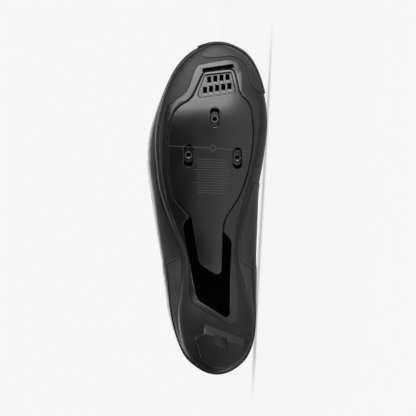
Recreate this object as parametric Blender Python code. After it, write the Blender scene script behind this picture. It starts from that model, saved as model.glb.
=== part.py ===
"""A right road cycling shoe, lying on its medial side with the sole showing.

The shoe is worked out standing: X runs from the heel to the toe, +Y is the medial side and +Z is up.
Every place along the shoe is a share of LENGTH, every place across it a share of BALL_WIDTH, and every
height a share of INSTEP_HEIGHT. One empty then lays the whole shoe down on its side.
"""

import math

import bmesh
import bpy
from mathutils import Matrix, Vector
from mathutils.geometry import intersect_point_tri

# Driving sizes in metres
LENGTH = 0.278
BALL_WIDTH = 0.100
INSTEP_HEIGHT = 0.096
UPPER_WALL = 0.0020
RIM_WALL = 0.0022
SOLE_THICKNESS = 0.0085
INSOLE_THICKNESS = 0.0030
GAP = 0.0003
OVERLAY_GAP = 0.0005
BED_GAP = 0.0006
PAD_GAP = 0.0004
TONGUE_GAP = 0.0005
TONGUE_SLACK = 0.0008
INSOLE_INSET = 0.006
BAND_PROUD = 0.0010
BAND_MARGIN = 0.0035
PANEL_DEPTH = 0.0020
PANEL_PROUD = 0.0009
PANEL_GROOVE = 0.0008
CHANNEL_DEPTH = 0.0048
POCKET_DEPTH = 0.0056
CLEAT_SLOT_WIDTH = 0.0073
CLEAT_SLOT_LENGTH = 0.0185
NUT_DIAMETER = 0.0062
NUT_BORE = 0.0040
NUT_HEIGHT = 0.0024
VENT_WIDTH = 0.0034
VENT_LENGTH = 0.0080
GRILLE_SUNK = 0.0004
PAD_HEIGHT = 0.0085
PAD_RECESS = 0.0012
BUMPER_THICKNESS = 0.0011
COUNTER_THICKNESS = 0.0009
TONGUE_THICKNESS = 0.0028
TONGUE_RISE = 0.022
STRAP_THICKNESS = 0.0016
STRAP_WIDTH = 0.021
BRIDGE_GAP = 0.0010
POCKET_MARGIN = 0.0006
VENT_MARGIN = 0.0012
BAND_ROOT = 0.002
BAND_CORNER = 0.004
PANEL_CORNER = 0.003
GRILLE_CORNER = 0.0015
INTAKE_CORNER = 0.001
PAD_BODY = 0.025
PAD_ROOF = 0.06
CUTTER_BELOW = 0.05
CUTTER_ABOVE = 0.10
CUTTER_UNDER = 0.02
SLOPE_STEP = 0.004

# Numbers of points, and the two smooth curves of the sole's section
AROUND = 56
UPPER_ROWS = 11
BOWL_POWER = 3.0
SIDE_FLATNESS = 1.25
LOWER_SHARE = 0.30
LOWER_ARC = math.radians(70)
SPINE_INSET = 0.080
EDGE_INSET = 0.0022
ROUND_STEPS = 8
SIDE_STEPS = 3
TONGUE_STEPS = 8
SLAB_ALONG = 0.0120
SLAB_ACROSS = 0.0090
UNDER_STEPS = (0.0, 0.03, 0.09, 0.20, 0.40, 0.70, 1.0)
BED_STEPS = (0.0, 0.12, 0.35, 0.65, 1.0)

# Places of the soft pieces: along the shoe, or shares of the way from the sole's edge to the top edge
COUNTER_REACH = 0.345
COUNTER_LEAN = 0.17
COUNTER_FOOT = 0.15
COUNTER_TOP = 0.62
COUNTER_ROWS = 7
COUNTER_STEPS = 15
BUMPER_LATERAL = 0.985
BUMPER_MEDIAL = 0.845
BUMPER_STEPS = 16
BUMPER_ROWS = 6
BUMPER_TOP = 0.36
BUMPER_SWELL = 0.20
BUMPER_ARCH = 0.04
BUMPER_ARCH_RUN = 1.6
BUMPER_ARCH_POWER = 0.7
BUMPER_FOOT = 0.05
SIDE_LEAN = 0.6
TONGUE_FRONT = 0.672
TONGUE_REAR = 0.440
TONGUE_LEAN = math.radians(38)
TONGUE_MARGIN = 0.14
TONGUE_TAPER = 0.36
TONGUE_TUCK = 0.9
TONGUE_ENDS = 3
PAD_BEVEL = 0.62
BRIDGE_PULL = 0.42
STRAP_STEPS = 4
STRAP_REACH = 0.42

# One row for each section, from the heel to the toe.
# at: along the shoe. lateral, medial: the outline. lateral_edge, medial_edge: where sole meets upper.
# under: underside of the sole. edge: height where sole meets upper. wide: height of the widest line.
# top_at, ridge, gap, top: the upper's top edge, its middle, half its opening and its height.
# arc: degrees of the arc from the widest line to the top.
COLUMNS = ("at", "lateral", "medial", "lateral_edge", "medial_edge", "under", "edge", "wide",
           "top_at", "ridge", "gap", "top", "arc")
SECTIONS = (
    (0.000, 0.03, 0.03, 0.03, 0.03, 0.190, 0.270, 0.350, 0.022, 0.03, 0.00, 0.960, 50),
    (0.018, -0.119, 0.183, -0.115, 0.180, 0.145, 0.265, 0.350, 0.040, 0.03, 0.08, 0.940, 50),
    (0.054, -0.229, 0.283, -0.222, 0.277, 0.105, 0.250, 0.350, 0.075, 0.03, 0.14, 0.880, 52),
    (0.108, -0.300, 0.337, -0.272, 0.330, 0.095, 0.235, 0.360, 0.130, 0.02, 0.18, 0.800, 54),
    (0.180, -0.362, 0.355, -0.295, 0.335, 0.108, 0.245, 0.385, 0.205, 0.00, 0.20, 0.745, 56),
    (0.252, -0.393, 0.358, -0.272, 0.274, 0.150, 0.285, 0.430, 0.275, -0.01, 0.19, 0.790, 58),
    (0.360, -0.436, 0.360, -0.268, 0.204, 0.205, 0.320, 0.460, 0.375, -0.02, 0.155, 0.940, 66),
    (0.468, -0.486, 0.370, -0.372, 0.242, 0.170, 0.275, 0.430, 0.470, -0.02, 0.12, 0.890, 74),
    (0.558, -0.522, 0.382, -0.450, 0.312, 0.090, 0.190, 0.360, 0.550, -0.02, 0.11, 0.800, 80),
    (0.647, -0.547, 0.422, -0.477, 0.374, 0.032, 0.135, 0.290, 0.630, -0.01, 0.09, 0.710, 84),
    (0.710, -0.535, 0.447, -0.485, 0.405, 0.016, 0.125, 0.265, 0.686, 0.00, 0.00, 0.660, 88),
    (0.770, -0.495, 0.453, -0.463, 0.425, 0.020, 0.130, 0.265, 0.740, 0.01, 0.00, 0.625, 89),
    (0.845, -0.420, 0.426, -0.408, 0.415, 0.065, 0.168, 0.285, 0.800, 0.03, 0.00, 0.597, 90),
    (0.917, -0.324, 0.366, -0.314, 0.357, 0.140, 0.230, 0.325, 0.852, 0.04, 0.00, 0.574, 90),
    (0.964, -0.215, 0.282, -0.206, 0.274, 0.215, 0.290, 0.360, 0.885, 0.05, 0.00, 0.557, 90),
    (0.989, -0.105, 0.175, -0.100, 0.170, 0.265, 0.330, 0.385, 0.903, 0.05, 0.00, 0.546, 90),
    (1.000, 0.04, 0.04, 0.04, 0.04, 0.300, 0.355, 0.400, 0.912, 0.05, 0.00, 0.540, 90),
)

# Corners of the sole's forms: along, across
PANEL = (
    (0.905, -0.077), (0.853, -0.140), (0.824, -0.178), (0.798, -0.301), (0.768, -0.342),
    (0.717, -0.373), (0.669, -0.378), (0.608, -0.368), (0.557, -0.346), (0.526, -0.316),
    (0.475, -0.185), (0.461, -0.178), (0.329, -0.109), (0.299, 0.029), (0.307, 0.071),
    (0.426, 0.078), (0.464, 0.088), (0.512, 0.176), (0.539, 0.223), (0.582, 0.264),
    (0.623, 0.297), (0.676, 0.322), (0.723, 0.331), (0.776, 0.320), (0.811, 0.301),
    (0.838, 0.219), (0.883, 0.193), (0.915, 0.169),
)
CHANNEL = (
    (0.477, -0.188), (0.452, -0.254), (0.407, -0.238), (0.348, -0.203), (0.268, -0.162),
    (0.224, -0.134), (0.198, -0.013), (0.170, 0.112), (0.181, 0.141), (0.229, 0.142),
    (0.307, 0.146), (0.402, 0.157), (0.434, 0.075),
)
BAND_FRONT = (
    (0.804, -0.394), (0.841, -0.238), (0.857, -0.208), (0.905, -0.162), (0.928, -0.130),
    (0.937, -0.013), (0.947, 0.136), (0.940, 0.219), (0.919, 0.243), (0.857, 0.275),
    (0.843, 0.293), (0.814, 0.383),
)
BAND_REAR = (
    (0.283, 0.201), (0.223, 0.205), (0.163, 0.201), (0.151, 0.142), (0.178, -0.008),
    (0.214, -0.176), (0.253, -0.218), (0.307, -0.222),
)
BAND_SIDES = (0.36, 0.44, 0.52, 0.60, 0.68, 0.75)
GRILLE = (
    (0.897, -0.067), (0.906, 0.147), (0.850, 0.181), (0.841, 0.167), (0.829, -0.103), (0.837, -0.126),
)
INTAKE = ((0.918, -0.090), (0.932, 0.165), (0.920, 0.182), (0.904, -0.088))
# Heel pad: along, across, and how far the bevel moves each corner back at the ground
PAD = (
    (0.155, -0.068, -0.027), (0.107, 0.260, -0.017), (0.081, 0.252, 0.0), (0.061, 0.239, 0.0),
    (0.048, 0.207, 0.0), (0.036, 0.164, 0.0), (0.024, 0.079, 0.0), (0.025, 0.014, 0.0),
    (0.031, -0.028, 0.0), (0.042, -0.071, 0.0), (0.056, -0.100, 0.0), (0.092, -0.127, 0.0),
    (0.116, -0.151, -0.010), (0.142, -0.111, -0.022),
)
PAD_DIAMOND = ((0.128, 0.002), (0.114, 0.116), (0.080, 0.117), (0.092, 0.018))
# Cleat slots: name, along, across, how far the nut stands from the slot's middle, and the length's share
CLEAT_SLOTS = (
    ("front", 0.770, 0.013, -0.0012, 0.88),
    ("lateral", 0.656, -0.204, 0.0004, 1.0),
    ("medial", 0.648, 0.199, 0.0005, 0.95),
)
# Vent rows: how many, first along and across, last along and across
VENT_ROWS = (
    (4, 0.879, -0.032, 0.887, 0.120),
    (5, 0.847, -0.067, 0.859, 0.135),
)
# Straps: name, middle along the top edge
STRAPS = (("front", 0.600), ("rear", 0.440))

# Materials: red, green, blue, roughness, metallic
FINISHES = {
    "moulded_nylon": (0.020, 0.020, 0.022, 0.28, 0.0),
    "gloss_panel": (0.016, 0.016, 0.018, 0.20, 0.0),
    "soft_rubber": (0.030, 0.030, 0.032, 0.62, 0.0),
    "upper_skin": (0.034, 0.034, 0.037, 0.52, 0.0),
    "lining_cloth": (0.045, 0.045, 0.048, 0.90, 0.0),
    "zinc_steel": (0.300, 0.300, 0.310, 0.38, 1.0),
    "strap_webbing": (0.028, 0.028, 0.030, 0.70, 0.0),
}


def angle_of(at):
    """The angle round the outline that stands over a share of the length."""
    return math.acos(max(-1.0, min(1.0, 1.0 - 2.0 * at)))


def knots_of(name):
    """One section column as knots all round: the lateral side out, the medial side back."""
    medial = {"lateral": "medial", "lateral_edge": "medial_edge"}.get(name, name)
    out = COLUMNS.index(name)
    back = COLUMNS.index(medial)
    knots = [(angle_of(row[0]), row[out]) for row in SECTIONS]
    knots += [(2.0 * math.pi - angle_of(row[0]), row[back]) for row in reversed(SECTIONS[1:-1])]
    return knots


KNOTS = {name: knots_of(name) for name in COLUMNS if name not in ("at", "medial", "medial_edge")}


def around(name, angle):
    """A section column at any angle round the outline, by a smooth closed curve through its rows."""
    knots = KNOTS[name]
    count = len(knots)
    turn = 2.0 * math.pi
    angle %= turn
    low = max(index for index in range(count) if knots[index][0] <= angle + 1e-12)

    def knot(index):
        lap, place = divmod(index, count)
        return knots[place][0] + lap * turn, knots[place][1]

    (a0, v0), (a1, v1), (a2, v2), (a3, v3) = (knot(low + step) for step in (-1, 0, 1, 2))
    span = a2 - a1
    share = (angle - a1) / span
    slope1 = (v2 - v0) / (a2 - a0) * span
    slope2 = (v3 - v1) / (a3 - a1) * span
    rest = 1.0 - share
    return (v1 * (1.0 + 2.0 * share) * rest * rest + slope1 * share * rest * rest
            + v2 * share * share * (3.0 - 2.0 * share) - slope2 * share * share * rest)


def edge_at(x, lateral):
    """Half the sole's width on one side, at x along the shoe."""
    at = (x - EDGE_INSET) / (LENGTH - 2.0 * EDGE_INSET)
    angle = angle_of(at)
    return around("lateral_edge", angle if lateral else 2.0 * math.pi - angle) * BALL_WIDTH


def under_height(x, y):
    """Height of the sole's underside: a flat bowl that rises to the sole's edge."""
    lateral = edge_at(x, True)
    medial = edge_at(x, False)
    middle = (lateral + medial) / 2.0
    half = max((medial - lateral) / 2.0, 1e-5)
    share = min(abs(y - middle) / half, 1.0)
    angle = angle_of(x / LENGTH)
    low = around("under", angle) * INSTEP_HEIGHT
    high = around("edge", angle) * INSTEP_HEIGHT
    return low + (high - low) * (1.0 - (1.0 - share ** BOWL_POWER) ** (1.0 / BOWL_POWER))


def arc_shares(share, arc):
    """How far in and how far up an arc has come at a share of its sweep."""
    inwards = (1.0 - math.cos(arc * share)) / (1.0 - math.cos(arc))
    return inwards ** SIDE_FLATNESS, math.sin(arc * share) / math.sin(arc)


def outline_point(angle):
    side = around("lateral", angle) * BALL_WIDTH
    height = around("wide", angle) * INSTEP_HEIGHT
    return Vector(((1.0 - math.cos(angle)) / 2.0 * LENGTH, side, height))


def edge_point(angle):
    at = (1.0 - math.cos(angle)) / 2.0
    x = EDGE_INSET + at * (LENGTH - 2.0 * EDGE_INSET)
    side = around("lateral_edge", angle) * BALL_WIDTH
    return Vector((x, side, around("edge", angle) * INSTEP_HEIGHT))


def top_point(angle, least_gap=0.0):
    half = max(around("gap", angle), least_gap / BALL_WIDTH, 0.0)
    sign = -1.0 if angle % (2.0 * math.pi) <= math.pi else 1.0
    if abs(math.sin(angle)) < 1e-9:
        sign = 0.0
    side = (around("ridge", angle) + sign * half) * BALL_WIDTH
    return Vector((around("top_at", angle) * LENGTH, side, around("top", angle) * INSTEP_HEIGHT))


def upper_point(angle, share, least_gap=0.0):
    """The upper's outer surface: share 0 at the sole's edge, 1 at the top edge."""
    wide = outline_point(angle)
    if share <= LOWER_SHARE:
        foot = edge_point(angle)
        along, up = arc_shares(1.0 - share / LOWER_SHARE, LOWER_ARC)
        end = foot
    else:
        end = top_point(angle, least_gap)
        arc = math.radians(around("arc", angle))
        along, up = arc_shares((share - LOWER_SHARE) / (1.0 - LOWER_SHARE), arc)
    flat = wide.lerp(end, along)
    return Vector((flat.x, flat.y, wide.z + (end.z - wide.z) * up))


def normal_at(angle, share, least_gap=0.0):
    """Outward normal of the upper's surface."""
    step = 0.004
    if share > 1.0 - step and around("gap", angle) <= 0.0 and least_gap == 0.0:
        run = top_point(angle + step) - top_point(angle - step)
        ridge = Vector((-run.z, 0.0, run.x)) if run.x > 0.0 else Vector((run.z, 0.0, -run.x))
        if ridge.length > 1e-9:
            return ridge.normalized()
        return Vector((0.0, 0.0, 1.0))
    low = max(share - step, 0.0)
    high = min(share + step, 1.0)
    rise = upper_point(angle, high, least_gap) - upper_point(angle, low, least_gap)
    run = upper_point(angle + step, share, least_gap) - upper_point(angle - step, share, least_gap)
    return rise.cross(run).normalized() * -1.0


def raised_point(angle, share, offset, least_gap=0.0):
    return upper_point(angle, share, least_gap) + normal_at(angle, share, least_gap) * offset


def new_material(name):
    red, green, blue, roughness, metallic = FINISHES[name]
    material = bpy.data.materials.new(name)
    material.use_nodes = True
    shader = material.node_tree.nodes["Principled BSDF"]
    shader.inputs["Base Color"].default_value = (red, green, blue, 1.0)
    shader.inputs["Roughness"].default_value = roughness
    shader.inputs["Metallic"].default_value = metallic
    return material


def add_piece(name, form, finish):
    """Makes a named object of a bmesh, with its material and smooth shading."""
    mesh = bpy.data.meshes.new(name)
    form.to_mesh(mesh)
    form.free()
    mesh.shade_smooth()
    mesh.set_sharp_from_angle(angle=math.radians(35))
    piece = bpy.data.objects.new(name, mesh)
    bpy.context.collection.objects.link(piece)
    if finish:
        mesh.materials.append(MATERIALS[finish])
    else:
        piece.hide_render = True
        piece.display_type = "WIRE"
    return piece


def cut(piece, tool, operation="DIFFERENCE"):
    modifier = piece.modifiers.new(tool.name, "BOOLEAN")
    modifier.operation = operation
    modifier.solver = "EXACT"
    modifier.object = tool


def grid_form(rows, closed_across=False, closed_along=False, left_out=()):
    """A surface of quads over rows of points; rows and points may close on themselves."""
    form = bmesh.new()
    lines = [[form.verts.new(point) for point in row] for row in rows]
    row_count = len(lines)
    for index in range(row_count if closed_along else row_count - 1):
        this = lines[index]
        after = lines[(index + 1) % row_count]
        width = len(this)
        for place in range(width if closed_across else width - 1):
            beside = (place + 1) % width
            if (index, place) in left_out:
                continue
            form.faces.new((this[place], this[beside], after[beside], after[place]))
    bmesh.ops.remove_doubles(form, verts=form.verts, dist=2e-6)
    return form


def shell_form(outer, inner, closed_along=False, left_out=()):
    """A closed wall between an outer and an inner surface of the same rows of points."""
    loops = [list(over) + list(reversed(below)) for over, below in zip(outer, inner)]
    form = grid_form(loops, closed_across=True, closed_along=closed_along, left_out=left_out)
    if not closed_along:
        form.verts.ensure_lookup_table()
        for over, below in ((outer[0], inner[0]), (outer[-1], inner[-1])):
            for place in range(len(over) - 1):
                corners = (over[place], over[place + 1], below[place + 1], below[place])
                form.faces.new([form.verts.new(corner) for corner in corners])
        bmesh.ops.remove_doubles(form, verts=form.verts, dist=2e-6)
    bmesh.ops.recalc_face_normals(form, faces=form.faces)
    return form


def rounded_outline(corners, radius):
    """An outline in metres, its corners rounded by arcs of up to a radius."""
    points = [Vector((row[0] * LENGTH, row[1] * BALL_WIDTH)) for row in corners]
    count = len(points)
    outline = []
    for index, corner in enumerate(points):
        before = points[index - 1] - corner
        after = points[(index + 1) % count] - corner
        reach = min(radius, before.length * 0.4, after.length * 0.4)
        start = corner + before.normalized() * reach
        end = corner + after.normalized() * reach
        bend = math.pi - before.angle(after)
        steps = max(1, int(round(bend / math.radians(25))))
        for step in range(steps + 1):
            share = step / steps
            outline.append(start.lerp(corner, share).lerp(corner.lerp(end, share), share))
    return outline


def grown(outline, distance):
    """An outline moved outwards by a distance, or inwards where it is negative."""
    count = len(outline)
    area = sum(outline[i].x * outline[(i + 1) % count].y - outline[(i + 1) % count].x * outline[i].y
               for i in range(count))
    side = 1.0 if area > 0.0 else -1.0
    moved = []
    for index, point in enumerate(outline):
        run = (outline[(index + 1) % count] - outline[index - 1]).normalized()
        moved.append(point + Vector((run.y, -run.x)) * distance * side)
    return moved


def prism_form(outline, low, high):
    """An upright prism over an outline, between two heights."""
    form = bmesh.new()
    base = form.faces.new([form.verts.new((point.x, point.y, low)) for point in outline])
    made = bmesh.ops.extrude_face_region(form, geom=[base])
    top = [item for item in made["geom"] if isinstance(item, bmesh.types.BMVert)]
    bmesh.ops.translate(form, verts=top, vec=(0.0, 0.0, high - low))
    bmesh.ops.recalc_face_normals(form, faces=form.faces)
    return form


def lattice(values, step):
    """Even steps, counted from zero, that reach a little past some values."""
    first = math.floor(min(values) / step - 0.5)
    last = math.ceil(max(values) / step + 0.5)
    return [index * step for index in range(first, last + 1)]


def slab_form(outline, low, high, fineness=1):
    """A plate that follows the sole's underside, between two depths, a little past an outline."""
    sides = lattice([point.y for point in outline], SLAB_ACROSS / fineness)
    loops = []
    for x in lattice([point.x for point in outline], SLAB_ALONG / fineness):
        floor = [Vector((x, y, under_height(x, y) + low)) for y in sides]
        roof = [Vector((x, y, under_height(x, y) + high)) for y in reversed(sides)]
        loops.append(floor + roof)
    form = grid_form(loops, closed_across=True)
    bmesh.ops.triangulate(form, faces=form.faces[:], quad_method="FIXED")
    ends = [edge for edge in form.edges if edge.is_boundary]
    bmesh.ops.holes_fill(form, edges=ends, sides=0)
    bmesh.ops.recalc_face_normals(form, faces=form.faces)
    return form


def sole_plate(name, outline, low, high, finish=None):
    """The part of a following plate that lies inside an outline."""
    piece = add_piece(name, slab_form(outline, low, high), finish)
    tool = add_piece(name + "_outline", prism_form(outline, -CUTTER_BELOW, CUTTER_ABOVE), None)
    cut(piece, tool, "INTERSECT")
    return piece


def build_outsole():
    rows = []
    for index in range(AROUND):
        angle = 2.0 * math.pi * index / AROUND
        edge = edge_point(angle)
        at = SPINE_INSET + (1.0 - 2.0 * SPINE_INSET) * (1.0 - math.cos(angle)) / 2.0
        x = at * LENGTH
        spine = Vector((x, (edge_at(x, True) + edge_at(x, False)) / 2.0, 0.0))
        under = []
        for share in UNDER_STEPS:
            flat = edge.lerp(spine, share)
            height = edge.z if share == 0.0 else under_height(flat.x, flat.y)
            under.append(Vector((flat.x, flat.y, height)))
        inward = (Vector((spine.x, spine.y, 0.0)) - Vector((edge.x, edge.y, 0.0))).normalized()
        rim = edge + inward * RIM_WALL
        above = []
        for share in BED_STEPS:
            flat = rim.lerp(spine, share)
            above.append(Vector((flat.x, flat.y, bed_height(flat, edge, spine))))
        rows.append(list(reversed(under)) + above)
    form = grid_form(rows, closed_along=True)
    bmesh.ops.recalc_face_normals(form, faces=form.faces)
    return add_piece("outsole", form, "moulded_nylon")


def band_outline():
    """The raised band: its front and rear corners, and sides that follow the sole's edge."""
    lateral = [(at, (edge_at(at * LENGTH, True) + BAND_MARGIN) / BALL_WIDTH) for at in BAND_SIDES]
    medial = [(at, (edge_at(at * LENGTH, False) - BAND_MARGIN) / BALL_WIDTH) for at in reversed(BAND_SIDES)]
    return rounded_outline(list(BAND_FRONT) + medial + list(BAND_REAR) + lateral, BAND_CORNER)


def build_sole_group():
    outsole = build_outsole()
    band = sole_plate("band_form", band_outline(), -BAND_PROUD, BAND_ROOT)
    panel_outline = rounded_outline(PANEL, PANEL_CORNER)
    recess = sole_plate("recess_form", grown(panel_outline, PANEL_GROOVE), -CUTTER_UNDER, PANEL_DEPTH)
    channel_outline = rounded_outline(CHANNEL, PANEL_CORNER)
    channel = sole_plate("channel_form", channel_outline, -CUTTER_UNDER, CHANNEL_DEPTH)
    intake_outline = rounded_outline(INTAKE, INTAKE_CORNER)
    intake = sole_plate("intake_form", intake_outline, -CUTTER_UNDER, POCKET_DEPTH)
    grille_outline = rounded_outline(GRILLE, GRILLE_CORNER)
    vent_outline = grown(grille_outline, -VENT_MARGIN)
    vent_pocket = sole_plate("vent_pocket_form", vent_outline, -CUTTER_UNDER, POCKET_DEPTH)
    cut(outsole, band, "UNION")
    cut(outsole, recess)
    cut(outsole, channel)
    cut(outsole, intake)
    cut(outsole, vent_pocket)

    panel = sole_plate("cleat_panel", panel_outline, -PANEL_PROUD, PANEL_DEPTH - GAP, "gloss_panel")
    tongue_corners = PANEL[11:16]
    keel_outline = grown(rounded_outline(tongue_corners, PANEL_CORNER), -GAP)
    keel = sole_plate("keel_form", keel_outline, 0.0, CHANNEL_DEPTH - GAP)
    cut(panel, keel, "UNION")
    vent = add_piece("vent_form", prism_form(grown(grille_outline, GAP), -CUTTER_BELOW, CUTTER_ABOVE), None)
    cut(panel, vent)

    grille = sole_plate("vent_grille", grille_outline, GRILLE_SUNK, PANEL_DEPTH - GAP, "gloss_panel")
    for row, (count, at, across, last_at, last_across) in enumerate(VENT_ROWS):
        for index in range(count):
            share = index / (count - 1)
            x = (at + (last_at - at) * share) * LENGTH
            y = (across + (last_across - across) * share) * BALL_WIDTH
            outline = [Vector((x + a * VENT_LENGTH / 2.0, y + b * VENT_WIDTH / 2.0))
                       for a, b in ((1, -1), (1, 1), (-1, 1), (-1, -1))]
            form = prism_form(outline, -CUTTER_BELOW, CUTTER_ABOVE)
            tool = add_piece("vent_%d_%d_form" % (row, index), form, None)
            cut(grille, tool)

    for name, at, across, shift, reach in CLEAT_SLOTS:
        x = at * LENGTH
        y = across * BALL_WIDTH
        straight = (CLEAT_SLOT_LENGTH * reach - CLEAT_SLOT_WIDTH) / 2.0
        radius = CLEAT_SLOT_WIDTH / 2.0
        outline = []
        for step in range(2 * ROUND_STEPS):
            turn = math.pi * (step + 0.5) / ROUND_STEPS
            shift_x = straight if math.cos(turn) > 0.0 else -straight
            outline.append(Vector((x + shift_x + radius * math.cos(turn), y + radius * math.sin(turn))))
        through = add_piece("slot_%s_form" % name, prism_form(outline, -CUTTER_BELOW, CUTTER_ABOVE), None)
        cut(panel, through)
        wider = grown(outline, POCKET_MARGIN)
        pocket = sole_plate("pocket_%s_form" % name, wider, -CUTTER_UNDER, POCKET_DEPTH)
        cut(outsole, pocket)
        build_nut(name, x + shift, y)
    return outsole


def build_nut(name, x, y):
    """A round threaded nut at the bottom of its slot, square to the sole there."""
    form = bmesh.new()
    radii = ((NUT_BORE / 2.0, 0.0), (NUT_DIAMETER / 2.0, 0.0), (NUT_DIAMETER / 2.0, NUT_HEIGHT),
             (NUT_BORE / 2.0, NUT_HEIGHT))
    profile = [form.verts.new((radius, 0.0, height)) for radius, height in radii]
    edges = [form.edges.new((profile[i], profile[(i + 1) % 4])) for i in range(4)]
    bmesh.ops.spin(form, geom=profile + edges, angle=2.0 * math.pi, steps=2 * ROUND_STEPS,
                   axis=(0.0, 0.0, 1.0), cent=(0.0, 0.0, 0.0), use_merge=True)
    bmesh.ops.recalc_face_normals(form, faces=form.faces)
    nut = add_piece("cleat_nut_" + name, form, "zinc_steel")
    rise = under_height(x + SLOPE_STEP, y) - under_height(x - SLOPE_STEP, y)
    slope = rise / (2.0 * SLOPE_STEP)
    lift = POCKET_DEPTH - GAP - NUT_HEIGHT - abs(slope) * NUT_DIAMETER / 2.0
    nut.location = (x, y, under_height(x, y) + lift)
    nut.rotation_euler = (0.0, -math.atan(slope), 0.0)
    return nut


def build_heel_pad():
    ground = min(under_height(at * LENGTH, across * BALL_WIDTH) for at, across, bevel in PAD) - PAD_HEIGHT
    base = [Vector((at * LENGTH, across * BALL_WIDTH, ground + PAD_BODY)) for at, across, bevel in PAD]
    low = [Vector(((at + bevel) * LENGTH, across * BALL_WIDTH, ground)) for at, across, bevel in PAD]
    shoulder = ground + PAD_HEIGHT * PAD_BEVEL
    mid = [Vector((at * LENGTH, across * BALL_WIDTH, shoulder)) for at, across, bevel in PAD]
    form = grid_form([low, mid, base], closed_across=True)
    bmesh.ops.holes_fill(form, edges=[edge for edge in form.edges if edge.is_boundary], sides=0)
    bmesh.ops.recalc_face_normals(form, faces=form.faces)
    pad = add_piece("heel_pad", form, "soft_rubber")
    outline = [Vector((at * LENGTH, across * BALL_WIDTH)) for at, across, bevel in PAD]
    roof = add_piece("pad_roof_form", slab_form(outline, -PAD_GAP, PAD_ROOF, fineness=3), None)
    cut(pad, roof)
    diamond = [Vector((at * LENGTH, across * BALL_WIDTH)) for at, across in PAD_DIAMOND]
    recess = add_piece("diamond_form", prism_form(diamond, ground - 0.01, ground + PAD_RECESS), None)
    cut(pad, recess)
    return pad


def build_upper():
    outer = []
    inner = []
    lift = Vector((0.0, 0.0, GAP))
    for index in range(AROUND):
        angle = 2.0 * math.pi * index / AROUND
        shares = [row / UPPER_ROWS for row in range(UPPER_ROWS + 1)]
        outer.append([upper_point(angle, share) for share in shares])
        inner.append([raised_point(angle, share, -UPPER_WALL) for share in shares])
        outer[-1][0] = outer[-1][0] + lift
        inner[-1][0] = inner[-1][0] + lift
    meets = [around("gap", 2.0 * math.pi * index / AROUND) <= 0.0 for index in range(AROUND)]
    ridge = {(index, UPPER_ROWS) for index in range(AROUND) if meets[index] and meets[(index + 1) % AROUND]}
    return add_piece("upper", shell_form(outer, inner, closed_along=True, left_out=ridge), "upper_skin")


def layered_piece(name, places, low, thickness, finish):
    """A sheet over rows of (angle, share) places of the upper, from a clearance up to its thickness."""
    outer = [[raised_point(angle, share, low + thickness) for angle, share in row] for row in places]
    inner = [[raised_point(angle, share, low) for angle, share in row] for row in places]
    return add_piece(name, shell_form(outer, inner), finish)


def build_counter():
    """The overlay round the heel, its front edges leaning forward to the sole."""
    reach = angle_of(COUNTER_REACH)
    places = []
    for index in range(-COUNTER_STEPS, COUNTER_STEPS + 1):
        row = []
        for place in range(COUNTER_ROWS + 1):
            share = place / COUNTER_ROWS
            angle = reach * (1.0 - COUNTER_LEAN * share) * index / COUNTER_STEPS
            row.append((angle, COUNTER_FOOT + (COUNTER_TOP - COUNTER_FOOT) * share))
        places.append(row)
    return layered_piece("heel_counter", places, OVERLAY_GAP, COUNTER_THICKNESS, "soft_rubber")


def build_bumper():
    """The soft cap over the toe, further back on the medial side."""
    start = angle_of(BUMPER_LATERAL)
    end = 2.0 * math.pi - angle_of(BUMPER_MEDIAL)
    places = []
    for index in range(BUMPER_STEPS + 1):
        share = index / BUMPER_STEPS
        angle = start + (end - start) * share
        run = min(share * BUMPER_ARCH_RUN, 1.0)
        arch = math.sin(math.pi * run) ** BUMPER_ARCH_POWER if run < 1.0 else 0.0
        top = BUMPER_TOP + BUMPER_SWELL * math.sin(math.pi * share) + BUMPER_ARCH * arch
        row = []
        for place in range(BUMPER_ROWS + 1):
            row.append((angle, BUMPER_FOOT + (top - BUMPER_FOOT) * place / BUMPER_ROWS))
        places.append(row)
    return layered_piece("toe_bumper", places, OVERLAY_GAP, BUMPER_THICKNESS, "soft_rubber")


def bridge_row(at, offset, margin, steps, side_steps):
    """Points across the throat at a share along the top edge: lateral side, crown, medial side."""
    left = angle_for_top(at)
    right = 2.0 * math.pi - left
    shares = [1.0 - margin * (1.0 - index / side_steps) for index in range(side_steps + 1)]
    out = [raised_point(left, share, offset, BRIDGE_GAP) for share in shares]
    back = [raised_point(right, share, offset, BRIDGE_GAP) for share in shares]
    start = out[-1]
    end = back[-1]
    reach = (end - start).length * BRIDGE_PULL
    start_pull = start + (out[-1] - out[-2]).normalized() * reach
    end_pull = end + (back[-1] - back[-2]).normalized() * reach
    points = list(out)
    for step in range(1, steps):
        share = step / steps
        rest = 1.0 - share
        points.append(start * rest ** 3 + start_pull * 3.0 * share * rest ** 2
                      + end_pull * 3.0 * share ** 2 * rest + end * share ** 3)
    return points + list(reversed(back))


def angle_for_top(at):
    """The lateral angle whose top edge stands at a share of the length."""
    low = 0.0
    high = math.pi
    for _ in range(40):
        middle = (low + high) / 2.0
        if around("top_at", middle) < at:
            low = middle
        else:
            high = middle
    return (low + high) / 2.0


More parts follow.
